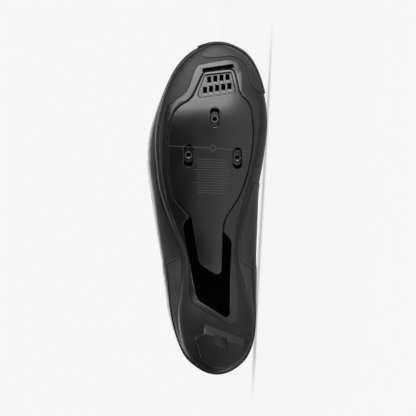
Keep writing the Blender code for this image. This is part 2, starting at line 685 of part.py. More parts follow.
def build_tongue():
    """A padded sheet under the throat's edges, standing out above them at its top."""
    layers = []
    crown = SIDE_STEPS + TONGUE_STEPS // 2
    for depth in (0.0, TONGUE_THICKNESS):
        rows = []
        for index in range(TONGUE_STEPS + 1):
            share = index / TONGUE_STEPS
            at = TONGUE_FRONT + (TONGUE_REAR - TONGUE_FRONT) * share
            offset = -(UPPER_WALL + TONGUE_GAP + TONGUE_SLACK * share + depth)
            margin = TONGUE_MARGIN * (1.0 - TONGUE_TUCK * share ** 2)
            rows.append(bridge_row(at, offset, margin, TONGUE_STEPS, SIDE_STEPS))
        layers.append(rows)
    run = Vector((-math.cos(TONGUE_LEAN), 0.0, math.sin(TONGUE_LEAN)))
    for rows in layers:
        last = rows[-1]
        for index in range(1, TONGUE_ENDS + 1):
            share = index / TONGUE_ENDS
            rows.append([point + run * TONGUE_RISE * share
                         - Vector((0.0, (point.y - last[crown].y) * TONGUE_TAPER * share, 0.0))
                         for point in last])
    return add_piece("tongue", shell_form(layers[0], layers[1]), "lining_cloth")


def build_straps():
    for name, middle in STRAPS:
        layers = []
        for offset in (OVERLAY_GAP + STRAP_THICKNESS, OVERLAY_GAP):
            stations = []
            for index in range(STRAP_STEPS + 1):
                stations.append(middle + (index / STRAP_STEPS - 0.5) * STRAP_WIDTH / LENGTH)
            sides = 2 * SIDE_STEPS
            layers.append([bridge_row(at, offset, STRAP_REACH, TONGUE_STEPS, sides) for at in stations])
        add_piece("strap_" + name, shell_form(layers[0], layers[1]), "strap_webbing")


def build_insole():
    """A flat bed inside the bowl of the sole."""
    rows = []
    for index in range(AROUND):
        angle = 2.0 * math.pi * index / AROUND
        edge = edge_point(angle)
        x = (SPINE_INSET + (1.0 - 2.0 * SPINE_INSET) * (1.0 - math.cos(angle)) / 2.0) * LENGTH
        spine = Vector((x, (edge_at(x, True) + edge_at(x, False)) / 2.0, 0.0))
        flat_edge = Vector((edge.x, edge.y, 0.0))
        rim = flat_edge + (spine - flat_edge).normalized() * INSOLE_INSET
        low = []
        high = []
        for share in (0.0, 0.2, 0.5, 1.0):
            flat = rim.lerp(spine, share)
            height = bed_height(flat, edge, spine) + BED_GAP
            low.append(Vector((flat.x, flat.y, height)))
            high.append(Vector((flat.x, flat.y, height + INSOLE_THICKNESS)))
        rows.append(list(reversed(low)) + high)
    form = grid_form(rows, closed_along=True)
    bmesh.ops.recalc_face_normals(form, faces=form.faces)
    return add_piece("insole", form, "lining_cloth")


def bed_height(flat, edge, spine):
    """Height of the sole's inner bed under a place of the insole."""
    floor = under_height(spine.x, spine.y) + SOLE_THICKNESS
    reach = (Vector((spine.x, spine.y)) - Vector((edge.x, edge.y))).length
    share = (Vector((spine.x, spine.y)) - Vector((flat.x, flat.y))).length / max(reach - RIM_WALL, 1e-6)
    bowl = 1.0 - (1.0 - min(share, 1.0) ** BOWL_POWER) ** (1.0 / BOWL_POWER)
    height = floor + (edge.z - floor) * bowl
    if edge.z > floor:
        height = max(height, min(under_height(flat.x, flat.y) + SOLE_THICKNESS, edge.z))
    return height


def lay_down():
    """Lays the whole shoe on its medial side, on the squarest hull face that holds its weight."""
    frame = bpy.data.objects.new("lying_frame", None)
    bpy.context.collection.objects.link(frame)
    pieces = [item for item in bpy.data.objects if item.type == "MESH"]
    for piece in pieces:
        piece.parent = frame
    bpy.context.view_layer.update()
    depsgraph = bpy.context.evaluated_depsgraph_get()
    hull = bmesh.new()
    volume = 0.0
    centre = Vector()
    for piece in pieces:
        if piece.hide_render:
            continue
        form = bmesh.new()
        form.from_mesh(piece.evaluated_get(depsgraph).to_mesh())
        form.transform(piece.matrix_world)
        bmesh.ops.triangulate(form, faces=form.faces[:])
        for face in form.faces:
            a, b, c = (vert.co for vert in face.verts)
            share = a.dot(b.cross(c)) / 6.0
            volume += share
            centre += (a + b + c) / 4.0 * share
        for vert in form.verts:
            hull.verts.new(vert.co)
        form.free()
    centre /= volume
    made = bmesh.ops.convex_hull(hull, input=hull.verts[:])
    inside = [item for item in made["geom_interior"] if isinstance(item, bmesh.types.BMVert)]
    bmesh.ops.delete(hull, geom=inside, context="VERTS")
    rests = []
    for face in hull.faces:
        drop = face.normal.dot(face.verts[0].co - centre)
        foot = centre + face.normal * drop
        corners = [vert.co for vert in face.verts]
        if face.normal.y > SIDE_LEAN and intersect_point_tri(foot, *corners):
            rests.append(face.normal.copy())
    down = max(rests, key=lambda normal: normal.y)
    turn = down.rotation_difference(Vector((0.0, 0.0, -1.0))).to_matrix()
    toe = turn @ Vector((1.0, 0.0, 0.0))
    turn = Matrix.Rotation(-math.atan2(toe.y, toe.x), 3, "Z") @ turn
    points = [turn @ vert.co for vert in hull.verts]
    low = Vector([min(point[axis] for point in points) for axis in range(3)])
    high = Vector([max(point[axis] for point in points) for axis in range(3)])
    hull.free()
    frame.rotation_euler = turn.to_euler()
    frame.location = (-(low.x + high.x) / 2.0, -(low.y + high.y) / 2.0, -low.z)


for item in list(bpy.data.objects):
    bpy.data.objects.remove(item)
MATERIALS = {name: new_material(name) for name in FINISHES}
build_sole_group()
build_heel_pad()
build_upper()
build_counter()
build_bumper()
build_tongue()
build_straps()
build_insole()
lay_down()
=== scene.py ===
"""The finished look of a right road cycling shoe that lies on its medial side, its sole towards the camera.

As in the CAD, the shoe is worked out standing: X runs from the heel to the toe, +Y is the medial side and
+Z is up. Each piece is laid down with the shoe at the end.
"""

import math

import bmesh
import bpy
from mathutils import Matrix, Vector


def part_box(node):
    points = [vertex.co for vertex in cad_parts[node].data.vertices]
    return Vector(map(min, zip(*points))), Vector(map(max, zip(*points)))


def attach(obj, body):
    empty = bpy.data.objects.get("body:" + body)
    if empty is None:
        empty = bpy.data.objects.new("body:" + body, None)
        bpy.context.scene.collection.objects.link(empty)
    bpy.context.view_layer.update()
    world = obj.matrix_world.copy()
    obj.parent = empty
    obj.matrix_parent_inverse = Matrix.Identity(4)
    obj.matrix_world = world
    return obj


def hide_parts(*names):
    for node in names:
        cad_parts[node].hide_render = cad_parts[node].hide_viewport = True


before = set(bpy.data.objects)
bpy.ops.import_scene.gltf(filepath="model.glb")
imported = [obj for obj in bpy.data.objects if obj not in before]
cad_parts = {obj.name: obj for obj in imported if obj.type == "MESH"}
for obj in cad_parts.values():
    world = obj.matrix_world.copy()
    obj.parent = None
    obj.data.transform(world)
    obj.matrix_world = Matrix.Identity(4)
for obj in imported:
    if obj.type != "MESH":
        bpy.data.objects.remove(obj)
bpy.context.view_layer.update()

# Driving sizes in metres
LENGTH = 0.278
BALL_WIDTH = 0.100
INSTEP_HEIGHT = 0.096
UPPER_WALL = 0.0020
RIM_WALL = 0.0022
SOLE_THICKNESS = 0.0085
INSOLE_THICKNESS = 0.0030
GAP = 0.0003
OVERLAY_GAP = 0.0005
BED_GAP = 0.0006
PAD_GAP = 0.0004
TONGUE_GAP = 0.0005
TONGUE_SLACK = 0.0008
INSOLE_INSET = 0.006
INSOLE_STEPS = 8
BAND_PROUD = 0.0010
BAND_MARGIN = 0.0035
PANEL_DEPTH = 0.0020
PANEL_PROUD = 0.0009
PANEL_GROOVE = 0.0008
CHANNEL_DEPTH = 0.0048
POCKET_DEPTH = 0.0056
CLEAT_SLOT_WIDTH = 0.0073
CLEAT_SLOT_LENGTH = 0.0185
NUT_DIAMETER = 0.0062
NUT_BORE = 0.0040
NUT_HEIGHT = 0.0024
VENT_WIDTH = 0.0034
VENT_LENGTH = 0.0080
GRILLE_SUNK = 0.0004
PAD_HEIGHT = 0.0085
PAD_RECESS = 0.0012
BUMPER_THICKNESS = 0.0011
COUNTER_THICKNESS = 0.0009
TONGUE_THICKNESS = 0.0028
TONGUE_RISE = 0.022
STRAP_THICKNESS = 0.0016
STRAP_WIDTH = 0.021
BOWL_POWER = 3.0
SIDE_FLATNESS = 1.25
LOWER_SHARE = 0.30
LOWER_ARC = math.radians(70)
SPINE_INSET = 0.080
EDGE_INSET = 0.0022

# Sizes of the finished look, in metres
FINE_ALONG = 0.0040
FINE_ACROSS = 0.0040
RIM_ROUND = 0.00045
SKIN = 0.0013
LINING_GAP = 0.00005
STITCH_LENGTH = 0.0022
STITCH_PITCH = 0.0031
STITCH_RADIUS = 0.00028
CORD_STEPS = 6
FINE_AROUND = 224
FINE_ROWS = 44
TABLE_STEPS = 1440

# One row for each section, from the heel to the toe.
# at: along the shoe. lateral, medial: the outline. lateral_edge, medial_edge: where sole meets upper.
# under: underside of the sole. edge: height where sole meets upper. wide: height of the widest line.
# top_at, ridge, gap, top: the upper's top edge, its middle, half its opening and its height.
# arc: degrees of the arc from the widest line to the top.
COLUMNS = ("at", "lateral", "medial", "lateral_edge", "medial_edge", "under", "edge", "wide",
           "top_at", "ridge", "gap", "top", "arc")
SECTIONS = (
    (0.000, 0.03, 0.03, 0.03, 0.03, 0.190, 0.270, 0.350, 0.022, 0.03, 0.00, 0.960, 50),
    (0.018, -0.119, 0.183, -0.115, 0.180, 0.145, 0.265, 0.350, 0.040, 0.03, 0.08, 0.940, 50),
    (0.054, -0.229, 0.283, -0.222, 0.277, 0.105, 0.250, 0.350, 0.075, 0.03, 0.14, 0.880, 52),
    (0.108, -0.300, 0.337, -0.272, 0.330, 0.095, 0.235, 0.360, 0.130, 0.02, 0.18, 0.800, 54),
    (0.180, -0.362, 0.355, -0.295, 0.335, 0.108, 0.245, 0.385, 0.205, 0.00, 0.20, 0.745, 56),
    (0.252, -0.393, 0.358, -0.272, 0.274, 0.150, 0.285, 0.430, 0.275, -0.01, 0.19, 0.790, 58),
    (0.360, -0.436, 0.360, -0.268, 0.204, 0.205, 0.320, 0.460, 0.375, -0.02, 0.155, 0.940, 66),
    (0.468, -0.486, 0.370, -0.372, 0.242, 0.170, 0.275, 0.430, 0.470, -0.02, 0.12, 0.890, 74),
    (0.558, -0.522, 0.382, -0.450, 0.312, 0.090, 0.190, 0.360, 0.550, -0.02, 0.11, 0.800, 80),
    (0.647, -0.547, 0.422, -0.477, 0.374, 0.032, 0.135, 0.290, 0.630, -0.01, 0.09, 0.710, 84),
    (0.710, -0.535, 0.447, -0.485, 0.405, 0.016, 0.125, 0.265, 0.686, 0.00, 0.00, 0.660, 88),
    (0.770, -0.495, 0.453, -0.463, 0.425, 0.020, 0.130, 0.265, 0.740, 0.01, 0.00, 0.625, 89),
    (0.845, -0.420, 0.426, -0.408, 0.415, 0.065, 0.168, 0.285, 0.800, 0.03, 0.00, 0.597, 90),
    (0.917, -0.324, 0.366, -0.314, 0.357, 0.140, 0.230, 0.325, 0.852, 0.04, 0.00, 0.574, 90),
    (0.964, -0.215, 0.282, -0.206, 0.274, 0.215, 0.290, 0.360, 0.885, 0.05, 0.00, 0.557, 90),
    (0.989, -0.105, 0.175, -0.100, 0.170, 0.265, 0.330, 0.385, 0.903, 0.05, 0.00, 0.546, 90),
    (1.000, 0.04, 0.04, 0.04, 0.04, 0.300, 0.355, 0.400, 0.912, 0.05, 0.00, 0.540, 90),
)

# Corners of the sole's forms: along, across
PANEL = (
    (0.905, -0.077), (0.853, -0.140), (0.824, -0.178), (0.798, -0.301), (0.768, -0.342),
    (0.717, -0.373), (0.669, -0.378), (0.608, -0.368), (0.557, -0.346), (0.526, -0.316),
    (0.475, -0.185), (0.461, -0.178), (0.329, -0.109), (0.299, 0.029), (0.307, 0.071),
    (0.426, 0.078), (0.464, 0.088), (0.512, 0.176), (0.539, 0.223), (0.582, 0.264),
    (0.623, 0.297), (0.676, 0.322), (0.723, 0.331), (0.776, 0.320), (0.811, 0.301),
    (0.838, 0.219), (0.883, 0.193), (0.915, 0.169),
)
CHANNEL = (
    (0.477, -0.188), (0.452, -0.254), (0.407, -0.238), (0.348, -0.203), (0.268, -0.162),
    (0.224, -0.134), (0.198, -0.013), (0.170, 0.112), (0.181, 0.141), (0.229, 0.142),
    (0.307, 0.146), (0.402, 0.157), (0.434, 0.075),
)
BAND_FRONT = (
    (0.804, -0.394), (0.841, -0.238), (0.857, -0.208), (0.905, -0.162), (0.928, -0.130),
    (0.937, -0.013), (0.947, 0.136), (0.940, 0.219), (0.919, 0.243), (0.857, 0.275),
    (0.843, 0.293), (0.814, 0.383),
)
BAND_REAR = (
    (0.283, 0.201), (0.223, 0.205), (0.163, 0.201), (0.151, 0.142), (0.178, -0.008),
    (0.214, -0.176), (0.253, -0.218), (0.307, -0.222),
)
BAND_SIDES = (0.36, 0.44, 0.52, 0.60, 0.68, 0.75)
GRILLE = (
    (0.897, -0.067), (0.906, 0.147), (0.850, 0.181), (0.841, 0.167), (0.829, -0.103), (0.837, -0.126),
)
INTAKE = ((0.918, -0.090), (0.932, 0.165), (0.920, 0.182), (0.904, -0.088))
# Heel pad: along, across, and how far the bevel moves each corner back at the ground
PAD = (
    (0.155, -0.068, -0.027), (0.107, 0.260, -0.017), (0.081, 0.252, 0.0), (0.061, 0.239, 0.0),
    (0.048, 0.207, 0.0), (0.036, 0.164, 0.0), (0.024, 0.079, 0.0), (0.025, 0.014, 0.0),
    (0.031, -0.028, 0.0), (0.042, -0.071, 0.0), (0.056, -0.100, 0.0), (0.092, -0.127, 0.0),
    (0.116, -0.151, -0.010), (0.142, -0.111, -0.022),
)
PAD_DIAMOND = ((0.128, 0.002), (0.114, 0.116), (0.080, 0.117), (0.092, 0.018))
# Cleat slots: name, along, across, how far the nut stands from the slot's middle, and the length's share
CLEAT_SLOTS = (
    ("front", 0.770, 0.013, -0.0012, 0.88),
    ("lateral", 0.656, -0.204, 0.0004, 1.0),
    ("medial", 0.648, 0.199, 0.0005, 0.95),
)
# Vent rows: how many, first along and across, last along and across
VENT_ROWS = (
    (4, 0.879, -0.032, 0.887, 0.120),
    (5, 0.847, -0.067, 0.859, 0.135),
)
# Straps: name, middle along the top edge
STRAPS = (("front", 0.600), ("rear", 0.440))

# More sizes of the finished look, in metres
EDGE_STEPS = (0.0, 0.0003, 0.0008, 0.0015, 0.0024, 0.0035, 0.0050, 0.0070)
BOWL_STEPS = 12
RIM_CORD = 0.00045
BAND_RIM = 0.0008
BAND_FADE = (0.40, 0.53)
BAND_LEAST = 0.10
BAND_CORNER = 0.0025
PANEL_CORNER = 0.003
GRILLE_CORNER = 0.0015
INTAKE_CORNER = 0.001
CUTTER_REACH = 0.02
BED_SHARES = (0.0, 0.12, 0.35, 0.65, 1.0)
PANEL_RIM = 0.0005
GRILLE_RIM = 0.0003
VENT_MARGIN = 0.0012
POCKET_MARGIN = 0.0012
FLOOR_MARGIN = 0.0008
VENT_FLOOR_MARGIN = 0.0015
BAND_ROOT = 0.0004
GROOVE_DEPTH = 0.0014
FLOOR_SHEET = 0.0003
FOLD_PROUD = 0.0008
WAVE_HEIGHT = 0.00022
BINDING_RADIUS = 0.0010
COLLAR_RADIUS = 0.0038
OVERLAY_LIFT = 0.0001
OVERLAY_SHEET = 0.0005
LINE_WIDTH = 0.00030
CARRIER_LENGTH = 0.0128
CARRIER_DEPTH = 0.0036
NUT_EASE = 0.00035
PAD_BEAD = 0.00035
HOLE_SIZE = 0.0010
HOLE_PITCH = 0.0024
HOLE_RUN = (0.365, 0.450)
HOLE_SHARES = (0.30, 0.345)
LINE_PROUD = 0.00004
CROSS_RADIUS = 0.0025
RAMP_DEPTH = 0.0014
RAMP_LEAN = math.radians(-32)
RAMP_SHARE = 0.36

# Places and counts of the finished look: shares of the length, the width and the girth
PAD_BEVEL = 0.62
COLLAR_FRONT = 0.684
COLLAR_TURNS = 150
COLLAR_NUDGE = 0.0005
COLLAR_SHARE = 0.96
COLLAR_SOFT_AT = 0.40
COLLAR_SOFT_RUN = 0.14
OVERLAY_SWING = 0.05
THROAT_STITCH = (0.46, 0.70)
THROAT_STITCHES = (0.930, 0.955)
QUARTER_STITCHES = (0.020, 0.036)
LINE_STEPS = 60
LINE_END = 0.02
SEAM_STEPS = 30
BRIDGE_GAP = 0.0010
BRIDGE_PULL = 0.42
COUNTER_REACH = 0.345
COUNTER_LEAN = 0.17
OVERLAY_LEAN = 0.19
SEAM_RADIUS = 0.0003
COUNTER_FOOT = 0.15
COUNTER_TOP = 0.62
COUNTER_STITCHES = (0.02, 0.045)
COUNTER_TOP_LINE = 0.985
COUNTER_SIDE_LINE = 0.975
COUNTER_LINE_STEPS = 80
COUNTER_SIDE_STEPS = 40
FINE_COUNTER_ROWS = 20
FINE_COUNTER_STEPS = 44
BUMPER_LATERAL = 0.985
BUMPER_MEDIAL = 0.845
BUMPER_FOOT = 0.05
BUMPER_HIGH = 0.36
BUMPER_SWELL = 0.20
BUMPER_ARCH = 0.04
BUMPER_ARCH_RUN = 1.6
BUMPER_ARCH_POWER = 0.7
BUMPER_ROWS = 16
BUMPER_STEPS = 64
TONGUE_FRONT = 0.672
TONGUE_REAR = 0.440
TONGUE_LEAN = math.radians(38)
TONGUE_MARGIN = 0.14
TONGUE_TAPER = 0.36
TONGUE_SIDES = 5
TONGUE_STEPS = 24
TONGUE_RISE_STEPS = 10
TONGUE_TUCK = 0.9
TONGUE_CORD = 0.62
STRAP_REACH = 0.42
STRAP_ROWS = 8
STRAP_SIDES = 12
STRAP_RIM = 0.0004
BRIDGE_STEPS = 24
CROSS_RING = (0.678, -0.002)
# Scales: first line along, pitch, count, left and right end across, slant, how much longer each fifth is
SCALES = (
    (0.7985, 0.0062, 6, -0.042, 0.084, -0.001, 0.0),
    (0.6455, -0.00765, 14, -0.134, 0.121, -0.003, 0.030),
)
CROSS_LINES = ((0.685, -0.366, -0.036, -0.006), (0.677, 0.030, 0.300, -0.009))

# The bumper's fold under the toe: the corners of its seam, and where it follows the sole's edge
FOLD_SEAM = (
    (0.984, -0.060), (0.958, -0.098), (0.951, -0.060), (0.953, 0.062), (0.958, 0.150), (0.948, 0.225),
    (0.932, 0.272), (0.910, 0.292), (0.872, 0.311), (0.856, 0.340), (0.846, 0.380),
)
FOLD_EDGE = (0.850, 0.885, 0.917, 0.945, 0.966, 0.980, 0.988)
FOLD_INSET = 0.0012
FOLD_CORNER = 0.002
FOLD_RIM = 0.0003
PLATE_SHARP = 18.0
# Creases: side (0 both, -1 lateral, 1 medial), foot and head along, lowest and highest share, depth, width
CREASES = (
    (0, 0.700, 0.735, 0.42, 1.0, 0.00085, 0.0050),
    (0, 0.655, 0.700, 0.50, 0.97, 0.00060, 0.0040),
    (0, 0.752, 0.770, 0.55, 1.0, 0.00050, 0.0042),
    (-1, 0.610, 0.650, 0.46, 0.92, 0.00055, 0.0038),
    (1, 0.628, 0.642, 0.40, 0.90, 0.00050, 0.0040),
    (-1, 0.505, 0.560, 0.40, 0.88, 0.00050, 0.0050),
    (1, 0.480, 0.535, 0.42, 0.90, 0.00055, 0.0050),
    (-1, 0.395, 0.440, 0.44, 0.90, 0.00045, 0.0045),
    (1, 0.372, 0.400, 0.40, 0.86, 0.00045, 0.0048),
    (0, 0.262, 0.235, 0.52, 0.96, 0.00080, 0.0060),
    (-1, 0.222, 0.190, 0.56, 0.94, 0.00060, 0.0050),
    (1, 0.205, 0.185, 0.55, 0.95, 0.00055, 0.0052),
    (0, 0.120, 0.150, 0.64, 0.95, 0.00040, 0.0045),
)
# Overlays: name, medial side, rear and front along, low share at both, high share at both
OVERLAYS = (
    ("quarter_lateral", False, 0.350, 0.640, 0.02, 0.02, 0.58, 0.36),
    ("quarter_medial", True, 0.338, 0.575, 0.02, 0.02, 0.56, 0.40),
)

# Studio
FLOOR_RADIUS = 9.0
FLOOR_COLOUR = (0.86, 0.86, 0.86)
SKY_POWER = 0.9
FILL_POWER = 2.38
SKY_ANGLE = math.radians(80)
SKY_RUN = (0.0, 0.10, -1.0)
BACKDROP = (0.92, 0.92, 0.92)
AMBIENT = 0.06
CAMERA_DISTANCE = 2.0
CAMERA_ALONG = 0.1390
CAMERA_ACROSS = -0.0042
PICTURE_WIDTH = 0.3438
SENSOR = 36.0
# Lights: name, place, target, width, height, power
LIGHTS = (
    ("toe_light", (1.08, -1.26, 0.38), (0.10, 0.0, 0.05), 0.95, 0.76, 15.0),
    ("nose_light", (1.58, -0.60, 0.38), (0.10, 0.0, 0.05), 0.80, 0.76, 16.0),
    ("toe_low_light", (0.78, -0.62, 0.003), (0.78, -0.62, 1.0), 0.80, 0.80, 18.0),
    ("back_light", (-0.2, 1.7, 1.5), (0.0, 0.0, 0.05), 1.8, 1.2, 34.0),
)


def graduation_rows():
    """Each scale line: along at its left end, across at both ends, and how far its right end falls back."""
    rows = []
    for first, pitch, count, left, right, slant, longer in SCALES:
        for step in range(count):
            extra = longer if step % 5 == 4 else 0.0
            rows.append((first + pitch * step, left - extra, right + extra / 2.0, slant))
    return rows + list(CROSS_LINES)


GRADUATIONS = graduation_rows()


def angle_of(at):
    """The angle round the outline that stands over a share of the length."""
    return math.acos(max(-1.0, min(1.0, 1.0 - 2.0 * at)))


def knots_of(name):
    """One section column as knots all round: the lateral side out, the medial side back."""
    medial = {"lateral": "medial", "lateral_edge": "medial_edge"}.get(name, name)
    out = COLUMNS.index(name)
    back = COLUMNS.index(medial)
    knots = [(angle_of(row[0]), row[out]) for row in SECTIONS]
    knots += [(2.0 * math.pi - angle_of(row[0]), row[back]) for row in reversed(SECTIONS[1:-1])]
    return knots


KNOTS = {name: knots_of(name) for name in COLUMNS if name not in ("at", "medial", "medial_edge")}


def curve_at(name, angle):
    """A section column at any angle round the outline, by a smooth closed curve through its rows."""
    knots = KNOTS[name]
    count = len(knots)
    turn = 2.0 * math.pi
    angle %= turn
    low = max(index for index in range(count) if knots[index][0] <= angle + 1e-12)

    def knot(index):
        lap, place = divmod(index, count)
        return knots[place][0] + lap * turn, knots[place][1]

    (a0, v0), (a1, v1), (a2, v2), (a3, v3) = (knot(low + step) for step in (-1, 0, 1, 2))
    span = a2 - a1
    share = (angle - a1) / span
    slope1 = (v2 - v0) / (a2 - a0) * span
    slope2 = (v3 - v1) / (a3 - a1) * span
    rest = 1.0 - share
    return (v1 * (1.0 + 2.0 * share) * rest * rest + slope1 * share * rest * rest
            + v2 * share * share * (3.0 - 2.0 * share) - slope2 * share * share * rest)


def sampled(name):
    """A section column at even steps round the outline, so that it is worked out once."""
    return [curve_at(name, 2.0 * math.pi * index / TABLE_STEPS) for index in range(TABLE_STEPS)]


SAMPLES = {name: sampled(name) for name in KNOTS}


def around(name, angle):
    """A section column at any angle, between its samples."""
    place = (angle / (2.0 * math.pi) % 1.0) * TABLE_STEPS
    low = int(place)
    share = place - low
    row = SAMPLES[name]
    return row[low % TABLE_STEPS] * (1.0 - share) + row[(low + 1) % TABLE_STEPS] * share


def edge_at(x, lateral):
    """Half the sole's width on one side, at x along the shoe."""
    at = (x - EDGE_INSET) / (LENGTH - 2.0 * EDGE_INSET)
    angle = angle_of(at)
    return around("lateral_edge", angle if lateral else 2.0 * math.pi - angle) * BALL_WIDTH


def under_height(x, y):
    """Height of the sole's underside: a flat bowl that rises to the sole's edge."""
    lateral = edge_at(x, True)
    medial = edge_at(x, False)
    middle = (lateral + medial) / 2.0
    half = max((medial - lateral) / 2.0, 1e-5)
    share = min(abs(y - middle) / half, 1.0)
    angle = angle_of(x / LENGTH)
    low = around("under", angle) * INSTEP_HEIGHT
    high = around("edge", angle) * INSTEP_HEIGHT
    return low + (high - low) * (1.0 - (1.0 - share ** BOWL_POWER) ** (1.0 / BOWL_POWER))


def arc_shares(share, arc):
    """How far in and how far up an arc has come at a share of its sweep."""
    inwards = (1.0 - math.cos(arc * share)) / (1.0 - math.cos(arc))
    return inwards ** SIDE_FLATNESS, math.sin(arc * share) / math.sin(arc)


def outline_point(angle):
    side = around("lateral", angle) * BALL_WIDTH
    height = around("wide", angle) * INSTEP_HEIGHT
    return Vector(((1.0 - math.cos(angle)) / 2.0 * LENGTH, side, height))


def edge_point(angle):
    at = (1.0 - math.cos(angle)) / 2.0
    x = EDGE_INSET + at * (LENGTH - 2.0 * EDGE_INSET)
    side = around("lateral_edge", angle) * BALL_WIDTH
    return Vector((x, side, around("edge", angle) * INSTEP_HEIGHT))


def top_point(angle, least_gap=0.0):
    half = max(around("gap", angle), least_gap / BALL_WIDTH, 0.0)
    sign = -1.0 if angle % (2.0 * math.pi) <= math.pi else 1.0
    if abs(math.sin(angle)) < 1e-9:
        sign = 0.0
    side = (around("ridge", angle) + sign * half) * BALL_WIDTH
    return Vector((around("top_at", angle) * LENGTH, side, around("top", angle) * INSTEP_HEIGHT))


def upper_point(angle, share, least_gap=0.0):
    """The upper's outer surface: share 0 at the sole's edge, 1 at the top edge."""
    wide = outline_point(angle)
    if share <= LOWER_SHARE:
        foot = edge_point(angle)
        along, up = arc_shares(1.0 - share / LOWER_SHARE, LOWER_ARC)
        end = foot
    else:
        end = top_point(angle, least_gap)
        arc = math.radians(around("arc", angle))
        along, up = arc_shares((share - LOWER_SHARE) / (1.0 - LOWER_SHARE), arc)
    flat = wide.lerp(end, along)
    return Vector((flat.x, flat.y, wide.z + (end.z - wide.z) * up))


def normal_at(angle, share, least_gap=0.0):
    """Outward normal of the upper's surface."""
    step = 0.004
    if share > 1.0 - step and around("gap", angle) <= 0.0 and least_gap == 0.0:
        run = top_point(angle + step) - top_point(angle - step)
        ridge = Vector((-run.z, 0.0, run.x)) if run.x > 0.0 else Vector((run.z, 0.0, -run.x))
        if ridge.length > 1e-9:
            return ridge.normalized()
        return Vector((0.0, 0.0, 1.0))
    low = max(share - step, 0.0)
    high = min(share + step, 1.0)
    rise = upper_point(angle, high, least_gap) - upper_point(angle, low, least_gap)
    run = upper_point(angle + step, share, least_gap) - upper_point(angle - step, share, least_gap)
    return rise.cross(run).normalized() * -1.0


def raised_point(angle, share, offset, least_gap=0.0):
    return upper_point(angle, share, least_gap) + normal_at(angle, share, least_gap) * offset


def rounded_outline(corners, radius):
    """An outline in metres, its corners rounded by arcs of up to a radius."""
    points = [Vector((row[0] * LENGTH, row[1] * BALL_WIDTH)) for row in corners]
    count = len(points)
    outline = []
    for index, corner in enumerate(points):
        before = points[index - 1] - corner
        after = points[(index + 1) % count] - corner
        reach = min(radius, before.length * 0.4, after.length * 0.4)
        start = corner + before.normalized() * reach
        end = corner + after.normalized() * reach
        bend = math.pi - before.angle(after)
        steps = max(1, int(round(bend / math.radians(25))))
        for step in range(steps + 1):
            share = step / steps
            outline.append(start.lerp(corner, share).lerp(corner.lerp(end, share), share))
    return outline


def grown(outline, distance):
    """An outline moved outwards by a distance, or inwards where it is negative."""
    count = len(outline)
    area = sum(outline[i].x * outline[(i + 1) % count].y - outline[(i + 1) % count].x * outline[i].y
               for i in range(count))
    side = 1.0 if area > 0.0 else -1.0
    moved = []
    for index, point in enumerate(outline):
        run = (outline[(index + 1) % count] - outline[index - 1]).normalized()
        moved.append(point + Vector((run.y, -run.x)) * distance * side)
    return moved


def nut_centre(name):
    """The middle of a cleat nut, standing."""
    for slot_name, at, across, shift, _ in CLEAT_SLOTS:
        if slot_name == name:
            x = at * LENGTH
            y = across * BALL_WIDTH
            break
    place, turn = nut_place(x + shift, y)
    return place + turn @ Vector((0.0, 0.0, NUT_HEIGHT / 2.0))


def nut_place(x, y):
    """Where a cleat nut's ground side stands, and how it leans with the sole."""
    step = 0.004
    slope = (under_height(x + step, y) - under_height(x - step, y)) / (2.0 * step)
    lift = POCKET_DEPTH - GAP - NUT_HEIGHT - abs(slope) * NUT_DIAMETER / 2.0
    turn = Matrix.Rotation(-math.atan(slope), 3, "Y")
    return Vector((x, y, under_height(x, y) + lift)), turn


def frame_of(points):
    """A square frame on three points."""
    first, second, third = points
    along = (second - first).normalized()
    up = along.cross(third - first).normalized()
    across = up.cross(along)
    turn = Matrix((along, across, up)).transposed().to_4x4()
    return Matrix.Translation(first) @ turn


def lying_matrix():
    """From the standing shoe to the lying one, by the places of the three nuts."""
    names = [row[0] for row in CLEAT_SLOTS]
    standing = [nut_centre(name) for name in names]
    lying = []
    for name in names:
        low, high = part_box("cleat_nut_" + name)
        lying.append((low + high) / 2.0)
    return frame_of(lying) @ frame_of(standing).inverted()


LYING = lying_matrix()


def add_piece(name, form, material, stands_for=(), sharp=40.0):
    """Lays a form down and makes the finished piece of it."""
    form.transform(LYING)
    mesh = bpy.data.meshes.new(name)
    form.to_mesh(mesh)
    form.free()
    mesh.shade_smooth()
    mesh.set_sharp_from_angle(angle=math.radians(sharp))
    mesh.materials.append(material)
    piece = bpy.data.objects.new(name, mesh)
    bpy.context.collection.objects.link(piece)
    if stands_for:
        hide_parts(*stands_for)
    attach(piece, "root")
    return piece


def loose(form):
    """A passing object, for a modifier."""
    mesh = bpy.data.meshes.new("passing")
    form.to_mesh(mesh)
    form.free()
    item = bpy.data.objects.new("passing", mesh)
    bpy.context.collection.objects.link(item)
    return item


def settled(items):
    """The first passing object as a form, its modifiers used up, and all of them gone."""
    bpy.context.view_layer.update()
    result = bmesh.new()
    result.from_object(items[0], bpy.context.evaluated_depsgraph_get())
    for item in items:
        mesh = item.data
        bpy.data.objects.remove(item)
        bpy.data.meshes.remove(mesh)
    return result


def combined(form, tools):
    """A form with others taken away from it."""
    items = [loose(part) for part in [form] + list(tools)]
    for tool in items[1:]:
        modifier = items[0].modifiers.new("cut", "BOOLEAN")
        modifier.operation = "DIFFERENCE"
        modifier.solver = "EXACT"
        modifier.object = tool
    return settled(items)


def thick(form, thickness):
    """A sheet given its thickness inwards."""
    item = loose(form)
    modifier = item.modifiers.new("thickness", "SOLIDIFY")
    modifier.thickness = thickness
    modifier.offset = -1.0
    modifier.use_even_offset = False
    return settled([item])


def joined(forms):
    """Several forms in one."""
    items = [loose(form) for form in forms]
    whole = bmesh.new()
    for item in items:
        whole.from_mesh(item.data)
        mesh = item.data
        bpy.data.objects.remove(item)
        bpy.data.meshes.remove(mesh)
    return whole


